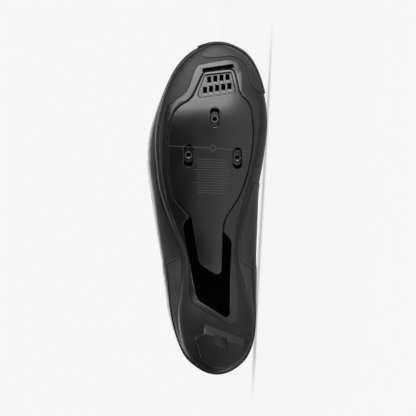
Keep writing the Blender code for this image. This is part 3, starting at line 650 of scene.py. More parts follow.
def prism_form(outline, low, high):
    """An upright prism over an outline, between two heights."""
    form = bmesh.new()
    base = form.faces.new([form.verts.new((point.x, point.y, low)) for point in outline])
    made = bmesh.ops.extrude_face_region(form, geom=[base])
    top = [item for item in made["geom"] if isinstance(item, bmesh.types.BMVert)]
    bmesh.ops.translate(form, verts=top, vec=(0.0, 0.0, high - low))
    bmesh.ops.recalc_face_normals(form, faces=form.faces)
    return form


def round_edges(form, width, steps=2, angle=55.0, low=None):
    """Rounds the sharp edges; with a height given, only those at that height."""
    limit = math.radians(angle)
    edges = []
    for edge in form.edges:
        if not edge.is_manifold or edge.calc_face_angle(0.0) < limit:
            continue
        if low is not None and max(abs(vert.co.z - low) for vert in edge.verts) > 1e-5:
            continue
        edges.append(edge)
    bmesh.ops.bevel(form, geom=edges, offset=width, offset_type="OFFSET", segments=steps,
                    profile=0.5, affect="EDGES", clamp_overlap=True, material=-1)


def laced(form, step_along=FINE_ALONG, step_across=FINE_ACROSS):
    """Cuts a flat form along a net of lines, so that it can bend."""
    for axis, step in ((0, step_along), (1, step_across)):
        values = [vert.co[axis] for vert in form.verts]
        first = math.ceil(min(values) / step)
        last = math.floor(max(values) / step)
        for index in range(first, last + 1):
            place = Vector()
            place[axis] = index * step
            direction = Vector()
            direction[axis] = 1.0
            geometry = form.verts[:] + form.edges[:] + form.faces[:]
            bmesh.ops.bisect_plane(form, geom=geometry, dist=1e-6, plane_co=place, plane_no=direction)
    return form


def bent(form):
    """Bends a flat form to the sole's underside."""
    for vert in form.verts:
        vert.co.z += under_height(vert.co.x, vert.co.y)
    return form


def plate_form(outline, low, high, holes=(), rim=RIM_ROUND):
    """A plate that follows the sole's underside, with holes and with its ground side's rim rounded."""
    form = prism_form(outline, low, high)
    if holes:
        form = combined(form, [prism_form(hole, low - 0.01, high + 0.01) for hole in holes])
    if rim:
        round_edges(form, rim, low=low)
    return bent(laced(form))


def to_outline(corners):
    return [Vector((at * LENGTH, across * BALL_WIDTH)) for at, across in corners]


def slot_outline(x, y, length, width, steps=12):
    """A slot with round ends."""
    radius = width / 2.0
    straight = (length - width) / 2.0
    outline = []
    for step in range(2 * steps):
        turn = math.pi * (step + 0.5) / steps
        end = straight if math.cos(turn) > 0.0 else -straight
        outline.append(Vector((x + end + radius * math.cos(turn), y + radius * math.sin(turn))))
    return outline


def rows_form(rows, thickness=0.0):
    """A sheet whose net of faces is moved to rows of points, with its true lengths as its map."""
    form = bmesh.new()
    layer = form.loops.layers.uv.new("last")
    across = len(rows[0]) - 1
    up = len(rows) - 1
    bmesh.ops.create_grid(form, x_segments=across, y_segments=up, size=1.0)
    form.verts.index_update()
    spots = {}
    for vert in form.verts:
        column = int(round((vert.co.x + 1.0) / 2.0 * across))
        row = int(round((vert.co.y + 1.0) / 2.0 * up))
        spots[vert.index] = (column, row)
    middle = rows[up // 2]
    runs = [0.0]
    for index in range(across):
        runs.append(runs[-1] + (middle[index + 1] - middle[index]).length)
    rises = [[0.0] * (across + 1)]
    for index in range(up):
        rises.append([rises[-1][column] + (rows[index + 1][column] - rows[index][column]).length
                      for column in range(across + 1)])
    for face in form.faces:
        for loop in face.loops:
            column, row = spots[loop.vert.index]
            loop[layer].uv = (runs[column], rises[row][column])
    for vert in form.verts:
        column, row = spots[vert.index]
        vert.co = rows[row][column]
    outwards = 0.0
    for face in form.faces:
        face.normal_update()
        place = face.calc_center_median()
        core = Vector((min(max(place.x, 0.05), 0.22), 0.0, 0.035))
        outwards += face.normal.dot(place - core) * face.calc_area()
    if outwards < 0.0:
        bmesh.ops.reverse_faces(form, faces=form.faces[:])
    bmesh.ops.remove_doubles(form, verts=form.verts[:], dist=2e-6)
    return thick(form, thickness) if thickness else form


def cord_form(points, radii, closed=False):
    """A round cord along points, by a curve with its own roundness."""
    curve = bpy.data.curves.new("passing", "CURVE")
    curve.dimensions = "3D"
    curve.bevel_depth = 1.0
    curve.bevel_resolution = CORD_STEPS // 2
    curve.use_fill_caps = not closed
    line = curve.splines.new("POLY")
    line.points.add(len(points) - 1)
    line.use_cyclic_u = closed
    for spot, place, radius in zip(line.points, points, radii):
        spot.co = (place.x, place.y, place.z, 1.0)
        spot.radius = radius
    item = bpy.data.objects.new("passing", curve)
    bpy.context.collection.objects.link(item)
    bpy.context.view_layer.update()
    mesh = item.evaluated_get(bpy.context.evaluated_depsgraph_get()).to_mesh()
    form = bmesh.new()
    form.from_mesh(mesh)
    bpy.data.objects.remove(item)
    bpy.data.curves.remove(curve)
    bmesh.ops.remove_doubles(form, verts=form.verts[:], dist=1e-7)
    bmesh.ops.recalc_face_normals(form, faces=form.faces[:])
    return form


def even_points(line, pitch):
    """Points and directions at an even pitch along a line of points."""
    spots = []
    left = pitch / 2.0
    for start, end in zip(line, line[1:]):
        run = end - start
        length = run.length
        while left <= length and length > 0.0:
            spots.append((start + run * (left / length), run / length))
            left += pitch
        left -= length
    return spots


def stitches(lines, length=STITCH_LENGTH, pitch=STITCH_PITCH, radius=STITCH_RADIUS):
    """Rows of small stitches along lines of points."""
    whole = bmesh.new()
    for line in lines:
        for place, run in even_points(line, pitch):
            turn = run.to_track_quat("X", "Z").to_matrix().to_4x4()
            size = Matrix.Diagonal((length / 2.0, radius, radius, 1.0))
            bmesh.ops.create_icosphere(whole, subdivisions=1, radius=1.0,
                                       matrix=Matrix.Translation(place) @ turn @ size)
    return whole


def hat(distance, width):
    """A soft trough with a lower ridge at each side."""
    share = (distance / width) ** 2
    return (1.0 - share) * math.exp(-share)


def crease_lift(angle, share):
    """How far the creases move the upper in or out."""
    at = (1.0 - math.cos(angle)) / 2.0
    side = -1 if math.sin(angle) >= 0.0 else 1
    lift = 0.0
    for which, foot, head, low, high, depth, width in CREASES:
        if which and which != side or not low < share < high:
            continue
        level = (share - low) / (high - low)
        line = foot + (head - foot) * level
        fade = math.sin(math.pi * level) ** 0.6 if high < 1.0 else math.sin(math.pi / 2.0 * level) ** 0.6
        lift -= depth * fade * hat((at - line) * LENGTH, width)
    wave = math.sin(at * 31.0 + side * 1.7) * math.sin(share * 9.0 + at * 7.0)
    return lift + WAVE_HEIGHT * wave * math.sin(math.pi * share) ** 2


def skin_point(angle, share, lift=0.0):
    """The creased outer surface of the upper, or a little above it."""
    return raised_point(angle, share, crease_lift(angle, share) + lift)


def angle_for_top(at):
    """The lateral angle whose top edge stands at a share of the length."""
    low = 0.0
    high = math.pi
    for _ in range(40):
        middle = (low + high) / 2.0
        if around("top_at", middle) < at:
            low = middle
        else:
            high = middle
    return (low + high) / 2.0


def bridge_row(at, offset, margin, steps, side_steps):
    """Points across the throat at a share along the top edge: lateral side, crown, medial side."""
    left = angle_for_top(at)
    right = 2.0 * math.pi - left
    shares = [1.0 - margin * (1.0 - index / side_steps) for index in range(side_steps + 1)]
    out = [raised_point(left, share, offset, BRIDGE_GAP) for share in shares]
    back = [raised_point(right, share, offset, BRIDGE_GAP) for share in shares]
    start = out[-1]
    end = back[-1]
    reach = (end - start).length * BRIDGE_PULL
    start_pull = start + (out[-1] - out[-2]).normalized() * reach
    end_pull = end + (back[-1] - back[-2]).normalized() * reach
    points = list(out)
    for step in range(1, steps):
        share = step / steps
        rest = 1.0 - share
        points.append(start * rest ** 3 + start_pull * 3.0 * share * rest ** 2
                      + end_pull * 3.0 * share ** 2 * rest + end * share ** 3)
    return points + list(reversed(back))


def build_outsole():
    """The moulded shell, its channel and pockets cut in, near-black sheets at the floors of the channel,
    pockets and vent as painted shade, and the raised band that stands on it.
    """
    rows = []
    for index in range(FINE_AROUND + 1):
        angle = 2.0 * math.pi * index / FINE_AROUND
        edge = edge_point(angle)
        at = SPINE_INSET + (1.0 - 2.0 * SPINE_INSET) * (1.0 - math.cos(angle)) / 2.0
        x = at * LENGTH
        spine = Vector((x, (edge_at(x, True) + edge_at(x, False)) / 2.0, 0.0))
        flat_edge = Vector((edge.x, edge.y, 0.0))
        reach = (spine - flat_edge).length
        inward = (spine - flat_edge).normalized()
        shares = [distance / reach for distance in EDGE_STEPS]
        shares += [shares[-1] + (1.0 - shares[-1]) * step / BOWL_STEPS for step in range(1, BOWL_STEPS + 1)]
        under = []
        for share in shares:
            flat = flat_edge.lerp(spine, share)
            height = edge.z if share == 0.0 else under_height(flat.x, flat.y)
            under.append(Vector((flat.x, flat.y, height)))
        rim = flat_edge + inward * RIM_WALL
        above = []
        for share in BED_SHARES:
            flat = rim.lerp(spine, share)
            above.append(Vector((flat.x, flat.y, bed_height(flat, edge, spine))))
        rows.append(list(reversed(under)) + above)
    shell = rows_form(rows)
    bmesh.ops.recalc_face_normals(shell, faces=shell.faces[:])
    recess = grown(rounded_outline(PANEL, PANEL_CORNER), PANEL_GROOVE)
    channel = rounded_outline(CHANNEL, PANEL_CORNER)
    intake = rounded_outline(INTAKE, INTAKE_CORNER)
    grille = rounded_outline(GRILLE, GRILLE_CORNER)
    keel = rounded_outline(PANEL[11:16], PANEL_CORNER)
    tools = [bent(laced(prism_form(recess, -CUTTER_REACH, GROOVE_DEPTH)))]
    tools.append(bent(laced(prism_form(channel, -CUTTER_REACH, CHANNEL_DEPTH))))
    tools.append(bent(laced(prism_form(intake, -CUTTER_REACH, POCKET_DEPTH))))
    tools.append(bent(laced(prism_form(grown(grille, -VENT_MARGIN), -CUTTER_REACH, POCKET_DEPTH))))
    for _, at, across, _, reach in CLEAT_SLOTS:
        outline = slot_outline(at * LENGTH, across * BALL_WIDTH, CLEAT_SLOT_LENGTH * reach + POCKET_MARGIN,
                               CLEAT_SLOT_WIDTH + POCKET_MARGIN)
        tools.append(bent(laced(prism_form(outline, -CUTTER_REACH, POCKET_DEPTH))))
    shell = combined(shell, tools)
    add_piece("outsole_shell", shell, MATT_NYLON, ("outsole",))
    # The floors of the channel, the cleat pockets and the vent are near-black sheets without shine: painted
    # shade in these recesses.
    floor = prism_form(grown(channel, -GAP), CHANNEL_DEPTH - FLOOR_SHEET, CHANNEL_DEPTH)
    floor = combined(floor, [prism_form(grown(keel, GAP), -CUTTER_REACH / 2.0, CUTTER_REACH)])
    shade_sheets = [bent(laced(floor))]
    for _, at, across, _, reach in CLEAT_SLOTS:
        outline = slot_outline(at * LENGTH, across * BALL_WIDTH, CLEAT_SLOT_LENGTH * reach + FLOOR_MARGIN,
                               CLEAT_SLOT_WIDTH + FLOOR_MARGIN)
        shade_sheets.append(bent(laced(prism_form(outline, POCKET_DEPTH - FLOOR_SHEET / 2.0, POCKET_DEPTH))))
    vent = grown(grille, -VENT_FLOOR_MARGIN)
    shade_sheets.append(bent(laced(prism_form(vent, POCKET_DEPTH - FLOOR_SHEET, POCKET_DEPTH))))
    add_piece("channel_floor_painted_shade", joined(shade_sheets), PAINTED_SHADE_BLACK)

    half_reach = CUTTER_REACH / 2.0
    band = prism_form(band_outline(), -BAND_PROUD, BAND_ROOT)
    band = combined(band, [prism_form(hole, -half_reach, half_reach) for hole in (recess, channel)])
    round_edges(band, BAND_RIM, 3, low=-BAND_PROUD)
    band = laced(band)
    for corner in band.verts:
        if corner.co.z < 0.0:
            corner.co.z *= band_height(corner.co.x / LENGTH)
    band = bent(combined(band, [prism_form(intake, -half_reach, half_reach)]))
    add_piece("outsole_band", band, NYLON, sharp=PLATE_SHARP)

    line = [edge_point(2.0 * math.pi * index / FINE_AROUND) for index in range(FINE_AROUND)]
    add_piece("outsole_rim", cord_form(line, [RIM_CORD] * len(line), closed=True), NYLON)


def bed_height(flat, edge, spine):
    """Height of the sole's inner bed under a place of the insole."""
    floor = under_height(spine.x, spine.y) + SOLE_THICKNESS
    reach = (Vector((spine.x, spine.y)) - Vector((edge.x, edge.y))).length
    share = (Vector((spine.x, spine.y)) - Vector((flat.x, flat.y))).length / max(reach - RIM_WALL, 1e-6)
    bowl = 1.0 - (1.0 - min(share, 1.0) ** BOWL_POWER) ** (1.0 / BOWL_POWER)
    height = floor + (edge.z - floor) * bowl
    if edge.z > floor:
        height = max(height, min(under_height(flat.x, flat.y) + SOLE_THICKNESS, edge.z))
    return height


def band_height(at):
    """The band's height as a share, full under the ball and nearly nothing beside the channel."""
    share = min(max((at - BAND_FADE[0]) / (BAND_FADE[1] - BAND_FADE[0]), 0.0), 1.0)
    return BAND_LEAST + (1.0 - BAND_LEAST) * share * share * (3.0 - 2.0 * share)


def band_outline():
    """The raised band: its front and rear corners, and sides that follow the sole's edge."""
    lateral = [(at, (edge_at(at * LENGTH, True) + BAND_MARGIN) / BALL_WIDTH) for at in BAND_SIDES]
    medial = [(at, (edge_at(at * LENGTH, False) - BAND_MARGIN) / BALL_WIDTH) for at in reversed(BAND_SIDES)]
    return rounded_outline(list(BAND_FRONT) + medial + list(BAND_REAR) + lateral, BAND_CORNER)


def build_panel():
    """The glossy plate with its slots, its keel in the channel, the grille and the nuts."""
    outline = rounded_outline(PANEL, PANEL_CORNER)
    grille_outline = rounded_outline(GRILLE, GRILLE_CORNER)
    holes = [grown(grille_outline, GAP)]
    for _, at, across, _, reach in CLEAT_SLOTS:
        holes.append(slot_outline(at * LENGTH, across * BALL_WIDTH, CLEAT_SLOT_LENGTH * reach,
                                  CLEAT_SLOT_WIDTH))
    panel = plate_form(outline, -PANEL_PROUD, PANEL_DEPTH - GAP, holes, rim=PANEL_RIM)
    keel_outline = grown(rounded_outline(PANEL[11:16], PANEL_CORNER), -GAP)
    keel = plate_form(keel_outline, 0.0, CHANNEL_DEPTH - GAP, rim=0.0)
    add_piece("cleat_panel_fine", joined([panel, keel]), GLOSS, ("cleat_panel",),
              sharp=PLATE_SHARP)

    slots = []
    floors = []
    for count, at, across, last_at, last_across in VENT_ROWS:
        for index in range(count):
            share = index / (count - 1)
            x = (at + (last_at - at) * share) * LENGTH
            y = (across + (last_across - across) * share) * BALL_WIDTH
            slots.append([Vector((x + a * VENT_LENGTH / 2.0, y + b * VENT_WIDTH / 2.0))
                          for a, b in ((1, -1), (1, 1), (-1, 1), (-1, -1))])
            floors.append((x, y))
    grille = plate_form(grille_outline, GRILLE_SUNK, PANEL_DEPTH - GAP, slots, rim=GRILLE_RIM)
    ramps = []
    for x, y in floors:
        ramp = bmesh.new()
        size = Matrix.Diagonal((VENT_LENGTH * RAMP_SHARE, VENT_WIDTH * 0.98, 0.0005, 1.0))
        lean = Matrix.Rotation(RAMP_LEAN, 4, "Y")
        back = x - VENT_LENGTH * (0.5 - RAMP_SHARE / 2.0)
        place = Vector((back, y, under_height(back, y) + RAMP_DEPTH))
        bmesh.ops.create_cube(ramp, size=1.0, matrix=Matrix.Translation(place) @ lean @ size)
        ramps.append(ramp)
    add_piece("vent_grille_fine", joined([grille] + ramps), NYLON, ("vent_grille",),
              sharp=PLATE_SHARP)

    carriers = []
    for name, at, across, shift, reach in CLEAT_SLOTS:
        x = at * LENGTH + shift
        y = across * BALL_WIDTH
        build_nut(name, x, y)
        rest = slot_outline(x, y, CARRIER_LENGTH, CLEAT_SLOT_WIDTH)
        carrier = prism_form(rest, CARRIER_DEPTH, POCKET_DEPTH - FLOOR_SHEET)
        ring = [Vector((x + NUT_DIAMETER * 0.52 * math.cos(turn), y + NUT_DIAMETER * 0.52 * math.sin(turn)))
                for turn in [2.0 * math.pi * step / 40 for step in range(40)]]
        carrier = combined(carrier, [prism_form(ring, -0.01, 0.02)])
        round_edges(carrier, 0.0003, 2, low=CARRIER_DEPTH)
        carriers.append(bent(carrier))
    add_piece("nut_carriers", joined(carriers), NYLON, sharp=PLATE_SHARP)


def build_nut(name, x, y):
    """A round nut with eased edges and its thread cut as rings."""
    form = bmesh.new()
    outer = NUT_DIAMETER / 2.0
    bore = NUT_BORE / 2.0
    ease = NUT_EASE
    radii = [(bore + ease, 0.0), (outer - ease, 0.0), (outer, ease), (outer, NUT_HEIGHT - ease),
             (outer - ease, NUT_HEIGHT), (bore + ease, NUT_HEIGHT)]
    turns = 4
    for index in range(turns, 0, -1):
        height = NUT_HEIGHT * (index - 0.5) / turns
        radii += [(bore, height + NUT_HEIGHT / turns / 4.0),
                  (bore + ease, height - NUT_HEIGHT / turns / 4.0)]
    profile = [form.verts.new((radius, 0.0, height)) for radius, height in radii]
    edges = [form.edges.new((profile[i], profile[(i + 1) % len(profile)])) for i in range(len(profile))]
    bmesh.ops.spin(form, geom=profile + edges, angle=2.0 * math.pi, steps=40, axis=(0.0, 0.0, 1.0),
                   cent=(0.0, 0.0, 0.0), use_merge=True)
    bmesh.ops.recalc_face_normals(form, faces=form.faces[:])
    place, turn = nut_place(x, y)
    form.transform(Matrix.Translation(place) @ turn.to_4x4())
    add_piece("nut_" + name, form, STEEL, ("cleat_nut_" + name,))


def build_pad():
    """The heel pad with eased edges and its sunk rhombus."""
    ground = min(under_height(at * LENGTH, across * BALL_WIDTH) for at, across, bevel in PAD) - PAD_HEIGHT
    outline = [Vector((at * LENGTH, across * BALL_WIDTH)) for at, across, bevel in PAD]
    form = prism_form(outline, ground, ground + PAD_HEIGHT * PAD_BEVEL)
    top = max(form.faces, key=lambda face: face.calc_center_median().z)
    made = bmesh.ops.extrude_face_region(form, geom=[top])
    raised = [item for item in made["geom"] if isinstance(item, bmesh.types.BMVert)]
    bmesh.ops.translate(form, verts=raised, vec=(0.0, 0.0, 0.02))
    bmesh.ops.delete(form, geom=[top], context="FACES_ONLY")
    for vert in form.verts:
        if vert.co.z < ground + 1e-6:
            for at, across, bevel in PAD:
                if abs(vert.co.x - at * LENGTH) < 1e-6 and abs(vert.co.y - across * BALL_WIDTH) < 1e-6:
                    move = bevel * LENGTH
                    break
            vert.co.x += move
    round_edges(form, 0.0006, 3, angle=25.0)
    roof = bent(laced(prism_form(grown(outline, 0.004), -PAD_GAP, 0.06), 0.002, 0.002))
    hollow = prism_form(to_outline(PAD_DIAMOND), ground - 0.01, ground + PAD_RECESS)
    round_edges(hollow, 0.0004, 2, low=ground + PAD_RECESS)
    form = combined(form, [roof, hollow])
    add_piece("heel_pad_fine", form, PAD_RUBBER, ("heel_pad",), sharp=30.0)
    line = [Vector(((at + bevel) * LENGTH, across * BALL_WIDTH, ground + PAD_BEAD * 0.4))
            for at, across, bevel in PAD[1:-1]]
    smooth = []
    for start, end in zip(line, line[1:]):
        smooth += [start.lerp(end, step / 4.0) for step in range(4)]
    bead = cord_form(smooth + [line[-1]], [PAD_BEAD] * (len(smooth) + 1))
    add_piece("heel_pad_bead", bead, PAD_RUBBER)


def build_upper():
    """The creased skin, the lining inside it and the padded roll round the collar."""
    shares = [row / FINE_ROWS for row in range(FINE_ROWS + 1)]
    angles = [2.0 * math.pi * index / FINE_AROUND for index in range(FINE_AROUND + 1)]
    outer = [[skin_point(angle, share) for angle in angles] for share in shares]
    add_piece("upper_skin", rows_form(outer, SKIN), LEATHER, ("upper",))
    coarse = angles[::2]
    inner = [[skin_point(angle, share, -SKIN - LINING_GAP) for angle in coarse] for share in shares[2::2]]
    add_piece("upper_lining", rows_form(inner, UPPER_WALL - SKIN - LINING_GAP), LINING)

    front = angle_for_top(COLLAR_FRONT)
    points = []
    radii = []
    for index in range(COLLAR_TURNS + 1):
        angle = front * (1.0 - 2.0 * index / COLLAR_TURNS) + COLLAR_NUDGE
        at = around("top_at", angle)
        swell = min(max((COLLAR_SOFT_AT - at) / COLLAR_SOFT_RUN, 0.0), 1.0)
        swell = swell * swell * (3.0 - 2.0 * swell)
        radius = BINDING_RADIUS + (COLLAR_RADIUS - BINDING_RADIUS) * swell
        edge = skin_point(angle, 1.0)
        inward = -normal_at(angle, COLLAR_SHARE)
        down = (skin_point(angle, 0.96) - edge).normalized()
        points.append(edge + inward * (radius * 0.75) + down * radius * 0.55)
        radii.append(radius)
    collar = add_piece("collar_roll", cord_form(points, radii), LINING)


def band_sheet(low_line, high_line, start, end, lift, thickness, lean=0.0, steps_along=60, steps_up=14):
    """A sheet on the skin between two lines of shares, its rear edge leaning by an angle."""
    rows = []
    for up in range(steps_up + 1):
        level = up / steps_up
        row = []
        for index in range(steps_along + 1):
            share_along = index / steps_along
            angle = start + (end - start) * share_along + lean * level * (1.0 - share_along)
            low = low_line(share_along)
            high = high_line(share_along)
            share = low + (high - low) * level
            row.append(skin_point(angle, share, lift + thickness))
        rows.append(row)
    return rows_form(rows, thickness)


def on_side(at, medial):
    """The angle over a share of the length, on one side."""
    angle = angle_of(at)
    return 2.0 * math.pi - angle if medial else angle


def build_overlays():
    """Thin welded layers on the upper, each with its stitches."""
    lines = []
    seams = []
    for name, medial, rear, front, low_rear, low_front, high_rear, high_front in OVERLAYS:
        start = on_side(rear, medial)
        end = on_side(front, medial)

        def low_line(share, low_rear=low_rear, low_front=low_front):
            return low_rear + (low_front - low_rear) * share

        def high_line(share, high_rear=high_rear, high_front=high_front):
            swing = math.sin(math.pi * share) * OVERLAY_SWING
            return high_rear + (high_front - high_rear) * share + swing

        lean = OVERLAY_LEAN if medial else -OVERLAY_LEAN
        sheet = band_sheet(low_line, high_line, start, end, OVERLAY_LIFT, OVERLAY_SHEET, lean)
        seam = []
        for index in range(SEAM_STEPS + 1):
            level = index / SEAM_STEPS
            share = low_rear + (high_rear - low_rear) * level
            seam.append(skin_point(start + lean * level, share, OVERLAY_LIFT + OVERLAY_SHEET))
        seams.append(cord_form(seam, [SEAM_RADIUS] * len(seam)))
        add_piece(name, sheet, SMOOTH_SKIN)
        for inset in QUARTER_STITCHES:
            line = []
            for index in range(LINE_STEPS + 1):
                share = LINE_END + (1.0 - 2.0 * LINE_END) * index / LINE_STEPS
                line.append(skin_point(start + (end - start) * share, high_line(share) - inset,
                                       OVERLAY_LIFT + OVERLAY_SHEET))
            lines.append(line)
    for medial in (False, True):
        for share in THROAT_STITCHES:
            line = []
            for index in range(LINE_STEPS + 1):
                at = THROAT_STITCH[0] + (THROAT_STITCH[1] - THROAT_STITCH[0]) * index / LINE_STEPS
                angle = angle_for_top(at)
                line.append(skin_point(2.0 * math.pi - angle if medial else angle, share, 0.0))
            lines.append(line)
    add_piece("upper_stitches", stitches(lines), THREAD)
    add_piece("quarter_seams", joined(seams), THREAD)
    rows = []
    rear, front = HOLE_RUN
    for share in HOLE_SHARES:
        row = []
        for index in range(SEAM_STEPS + 1):
            angle = on_side(rear + (front - rear) * index / SEAM_STEPS, True)
            row.append(skin_point(angle, share, OVERLAY_LIFT + OVERLAY_SHEET))
        rows.append(row)
    # The perforations are small dark dots on the skin: painted shade standing for the insides of holes.
    holes = stitches(rows, HOLE_SIZE, HOLE_PITCH, HOLE_SIZE / 2.0)
    add_piece("upper_perforations", holes, PAINTED_SHADE_BLACK)


def build_counter():
    """The smooth overlay round the heel, its front edges leaning forward to the sole."""
    reach = angle_of(COUNTER_REACH)
    rows = []
    for place in range(FINE_COUNTER_ROWS + 1):
        share = place / FINE_COUNTER_ROWS
        level = COUNTER_FOOT + (COUNTER_TOP - COUNTER_FOOT) * share
        row = []
        for index in range(-FINE_COUNTER_STEPS, FINE_COUNTER_STEPS + 1):
            angle = reach * (1.0 - COUNTER_LEAN * share) * index / FINE_COUNTER_STEPS
            row.append(skin_point(angle, level, OVERLAY_LIFT + COUNTER_THICKNESS))
        rows.append(row)
    add_piece("heel_counter_fine", rows_form(rows, COUNTER_THICKNESS), SMOOTH_SKIN,
              ("heel_counter",))
    top = []
    for inset in COUNTER_STITCHES:
        line = []
        for index in range(-COUNTER_LINE_STEPS, COUNTER_LINE_STEPS + 1):
            share = 1.0 - inset
            angle = reach * (1.0 - COUNTER_LEAN * share) * COUNTER_TOP_LINE * index / COUNTER_LINE_STEPS
            level = COUNTER_FOOT + (COUNTER_TOP - COUNTER_FOOT) * share
            line.append(skin_point(angle, level, OVERLAY_LIFT + COUNTER_THICKNESS))
        top.append(line)
    for side in (-1.0, 1.0):
        line = []
        for index in range(COUNTER_SIDE_STEPS + 1):
            share = index / COUNTER_SIDE_STEPS
            angle = reach * (1.0 - COUNTER_LEAN * share) * side * COUNTER_SIDE_LINE
            level = COUNTER_FOOT + (COUNTER_TOP - COUNTER_FOOT) * share
            line.append(skin_point(angle, level, OVERLAY_LIFT + COUNTER_THICKNESS))
        top.append(line)
    add_piece("counter_stitches", stitches(top), THREAD)


def build_bumper():
    """The soft cap over the toe, further back on the medial side, and its fold under the toe."""
    start = angle_of(BUMPER_LATERAL)
    end = 2.0 * math.pi - angle_of(BUMPER_MEDIAL)
    rows = []
    for place in range(BUMPER_ROWS + 1):
        row = []
        for index in range(BUMPER_STEPS + 1):
            share = index / BUMPER_STEPS
            run = share * BUMPER_ARCH_RUN
            arch = math.sin(math.pi * run) ** BUMPER_ARCH_POWER if 0.0 < run < 1.0 else 0.0
            top = BUMPER_HIGH + BUMPER_SWELL * math.sin(math.pi * share) + BUMPER_ARCH * arch
            level = BUMPER_FOOT + (top - BUMPER_FOOT) * place / BUMPER_ROWS
            row.append(skin_point(start + (end - start) * share, level, OVERLAY_LIFT + BUMPER_THICKNESS))
        rows.append(row)
    add_piece("toe_bumper_fine", rows_form(rows, BUMPER_THICKNESS), RUBBER, ("toe_bumper",))
    outer = [(at, (edge_at(at * LENGTH, False) - FOLD_INSET) / BALL_WIDTH) for at in FOLD_EDGE]
    outline = rounded_outline(list(FOLD_SEAM) + outer, FOLD_CORNER)
    fold = plate_form(outline, -FOLD_PROUD, FOLD_PROUD, rim=FOLD_RIM)
    add_piece("toe_bumper_fold", fold, RUBBER, sharp=PLATE_SHARP)


def build_tongue():
    """The padded tongue, its edges under the throat's."""
    rows = []
    crown = TONGUE_SIDES + BRIDGE_STEPS // 2
    for index in range(TONGUE_STEPS + 1):
        share = index / TONGUE_STEPS
        at = TONGUE_FRONT + (TONGUE_REAR - TONGUE_FRONT) * share
        offset = -(UPPER_WALL + TONGUE_GAP + TONGUE_SLACK * share)
        margin = TONGUE_MARGIN * (1.0 - TONGUE_TUCK * share ** 2)
        rows.append(bridge_row(at, offset, margin, BRIDGE_STEPS, TONGUE_SIDES))
    run = Vector((-math.cos(TONGUE_LEAN), 0.0, math.sin(TONGUE_LEAN)))
    last = rows[-1]
    for index in range(1, TONGUE_RISE_STEPS + 1):
        share = index / TONGUE_RISE_STEPS
        rows.append([point + run * TONGUE_RISE * share
                     - Vector((0.0, (point.y - last[crown].y) * TONGUE_TAPER * share, 0.0))
                     for point in last])
    tongue = add_piece("tongue_fine", rows_form(rows, TONGUE_THICKNESS), TONGUE_CLOTH,
                       ("tongue",))
    edge = [row[0] for row in rows] + rows[-1][1:-1] + [row[-1] for row in reversed(rows)]
    middle = Vector((0.0, 0.0, -TONGUE_THICKNESS / 2.0))
    points = [point + middle for point in edge]
    binding = cord_form(points, [TONGUE_THICKNESS * TONGUE_CORD] * len(points))
    add_piece("tongue_binding", binding, WEBBING)


def build_straps():
    """Two straps over the throat, each with rows of stitches along its sides and across its lateral end."""
    lines = []
    lift = OVERLAY_GAP + STRAP_THICKNESS
    for name, middle in STRAPS:
        rows = []
        for index in range(STRAP_ROWS + 1):
            at = middle + (index / STRAP_ROWS - 0.5) * STRAP_WIDTH / LENGTH
            rows.append(bridge_row(at, lift, STRAP_REACH, BRIDGE_STEPS, STRAP_SIDES))
        strap = rows_form(rows, STRAP_THICKNESS)
        round_edges(strap, STRAP_RIM, angle=60.0)
        add_piece("strap_%s_fine" % name, strap, WEBBING, ("strap_" + name,))
        for index in (1, STRAP_ROWS - 1):
            at = middle + (index / STRAP_ROWS - 0.5) * STRAP_WIDTH / LENGTH
            lines.append(bridge_row(at, lift, STRAP_REACH * 0.97, BRIDGE_STEPS, STRAP_SIDES))
        for place in (1, 3):
            lines.append([row[place] for row in rows][1:STRAP_ROWS])
    add_piece("strap_stitches", stitches(lines), THREAD)


def build_insole():
    """A soft flat bed inside the bowl of the sole."""
    rows = []
    for index in range(FINE_AROUND // 2 + 1):
        angle = 4.0 * math.pi * index / FINE_AROUND
        edge = edge_point(angle)
        x = (SPINE_INSET + (1.0 - 2.0 * SPINE_INSET) * (1.0 - math.cos(angle)) / 2.0) * LENGTH
        spine = Vector((x, (edge_at(x, True) + edge_at(x, False)) / 2.0, 0.0))
        flat_edge = Vector((edge.x, edge.y, 0.0))
        rim = flat_edge + (spine - flat_edge).normalized() * INSOLE_INSET
        row = []
        for step in range(INSOLE_STEPS + 1):
            flat = rim.lerp(spine, step / INSOLE_STEPS)
            height = bed_height(flat, edge, spine) + BED_GAP + INSOLE_THICKNESS
            row.append(Vector((flat.x, flat.y, height)))
        rows.append(row)
    form = rows_form(rows)
    if sum(face.normal.z for face in form.faces) < 0.0:
        bmesh.ops.reverse_faces(form, faces=form.faces[:])
    add_piece("insole_fine", thick(form, INSOLE_THICKNESS), LINING, ("insole",))


def build_graduations():
    """Plain scale lines for setting the cleats, and the cross that marks the ball of the foot."""
    strips = []
    for at, left, right, slant in GRADUATIONS:
        strips.append((Vector((at * LENGTH, left * BALL_WIDTH)),
                       Vector(((at + slant) * LENGTH, right * BALL_WIDTH))))
    forms = []
    for start, end in strips:
        side = (end - start).normalized() * LINE_WIDTH / 2.0
        normal = Vector((-side.y, side.x))
        outline = [start + normal, end + normal, end - normal, start - normal]
        forms.append(bent(laced(prism_form(outline, -PANEL_PROUD - LINE_PROUD, -PANEL_PROUD + LINE_PROUD))))
    x, y = CROSS_RING[0] * LENGTH, CROSS_RING[1] * BALL_WIDTH
    ring = [Vector((x + CROSS_RADIUS * math.cos(turn), y + CROSS_RADIUS * math.sin(turn)))
            for turn in [2.0 * math.pi * step / 32 for step in range(32)]]
    circle = prism_form(ring, -PANEL_PROUD - LINE_PROUD, -PANEL_PROUD + LINE_PROUD)
    circle = combined(circle, [prism_form(grown(ring, -LINE_WIDTH), -0.01, 0.01)])
    forms.append(bent(laced(circle)))
    add_piece("panel_graduations", joined(forms), MARKING)


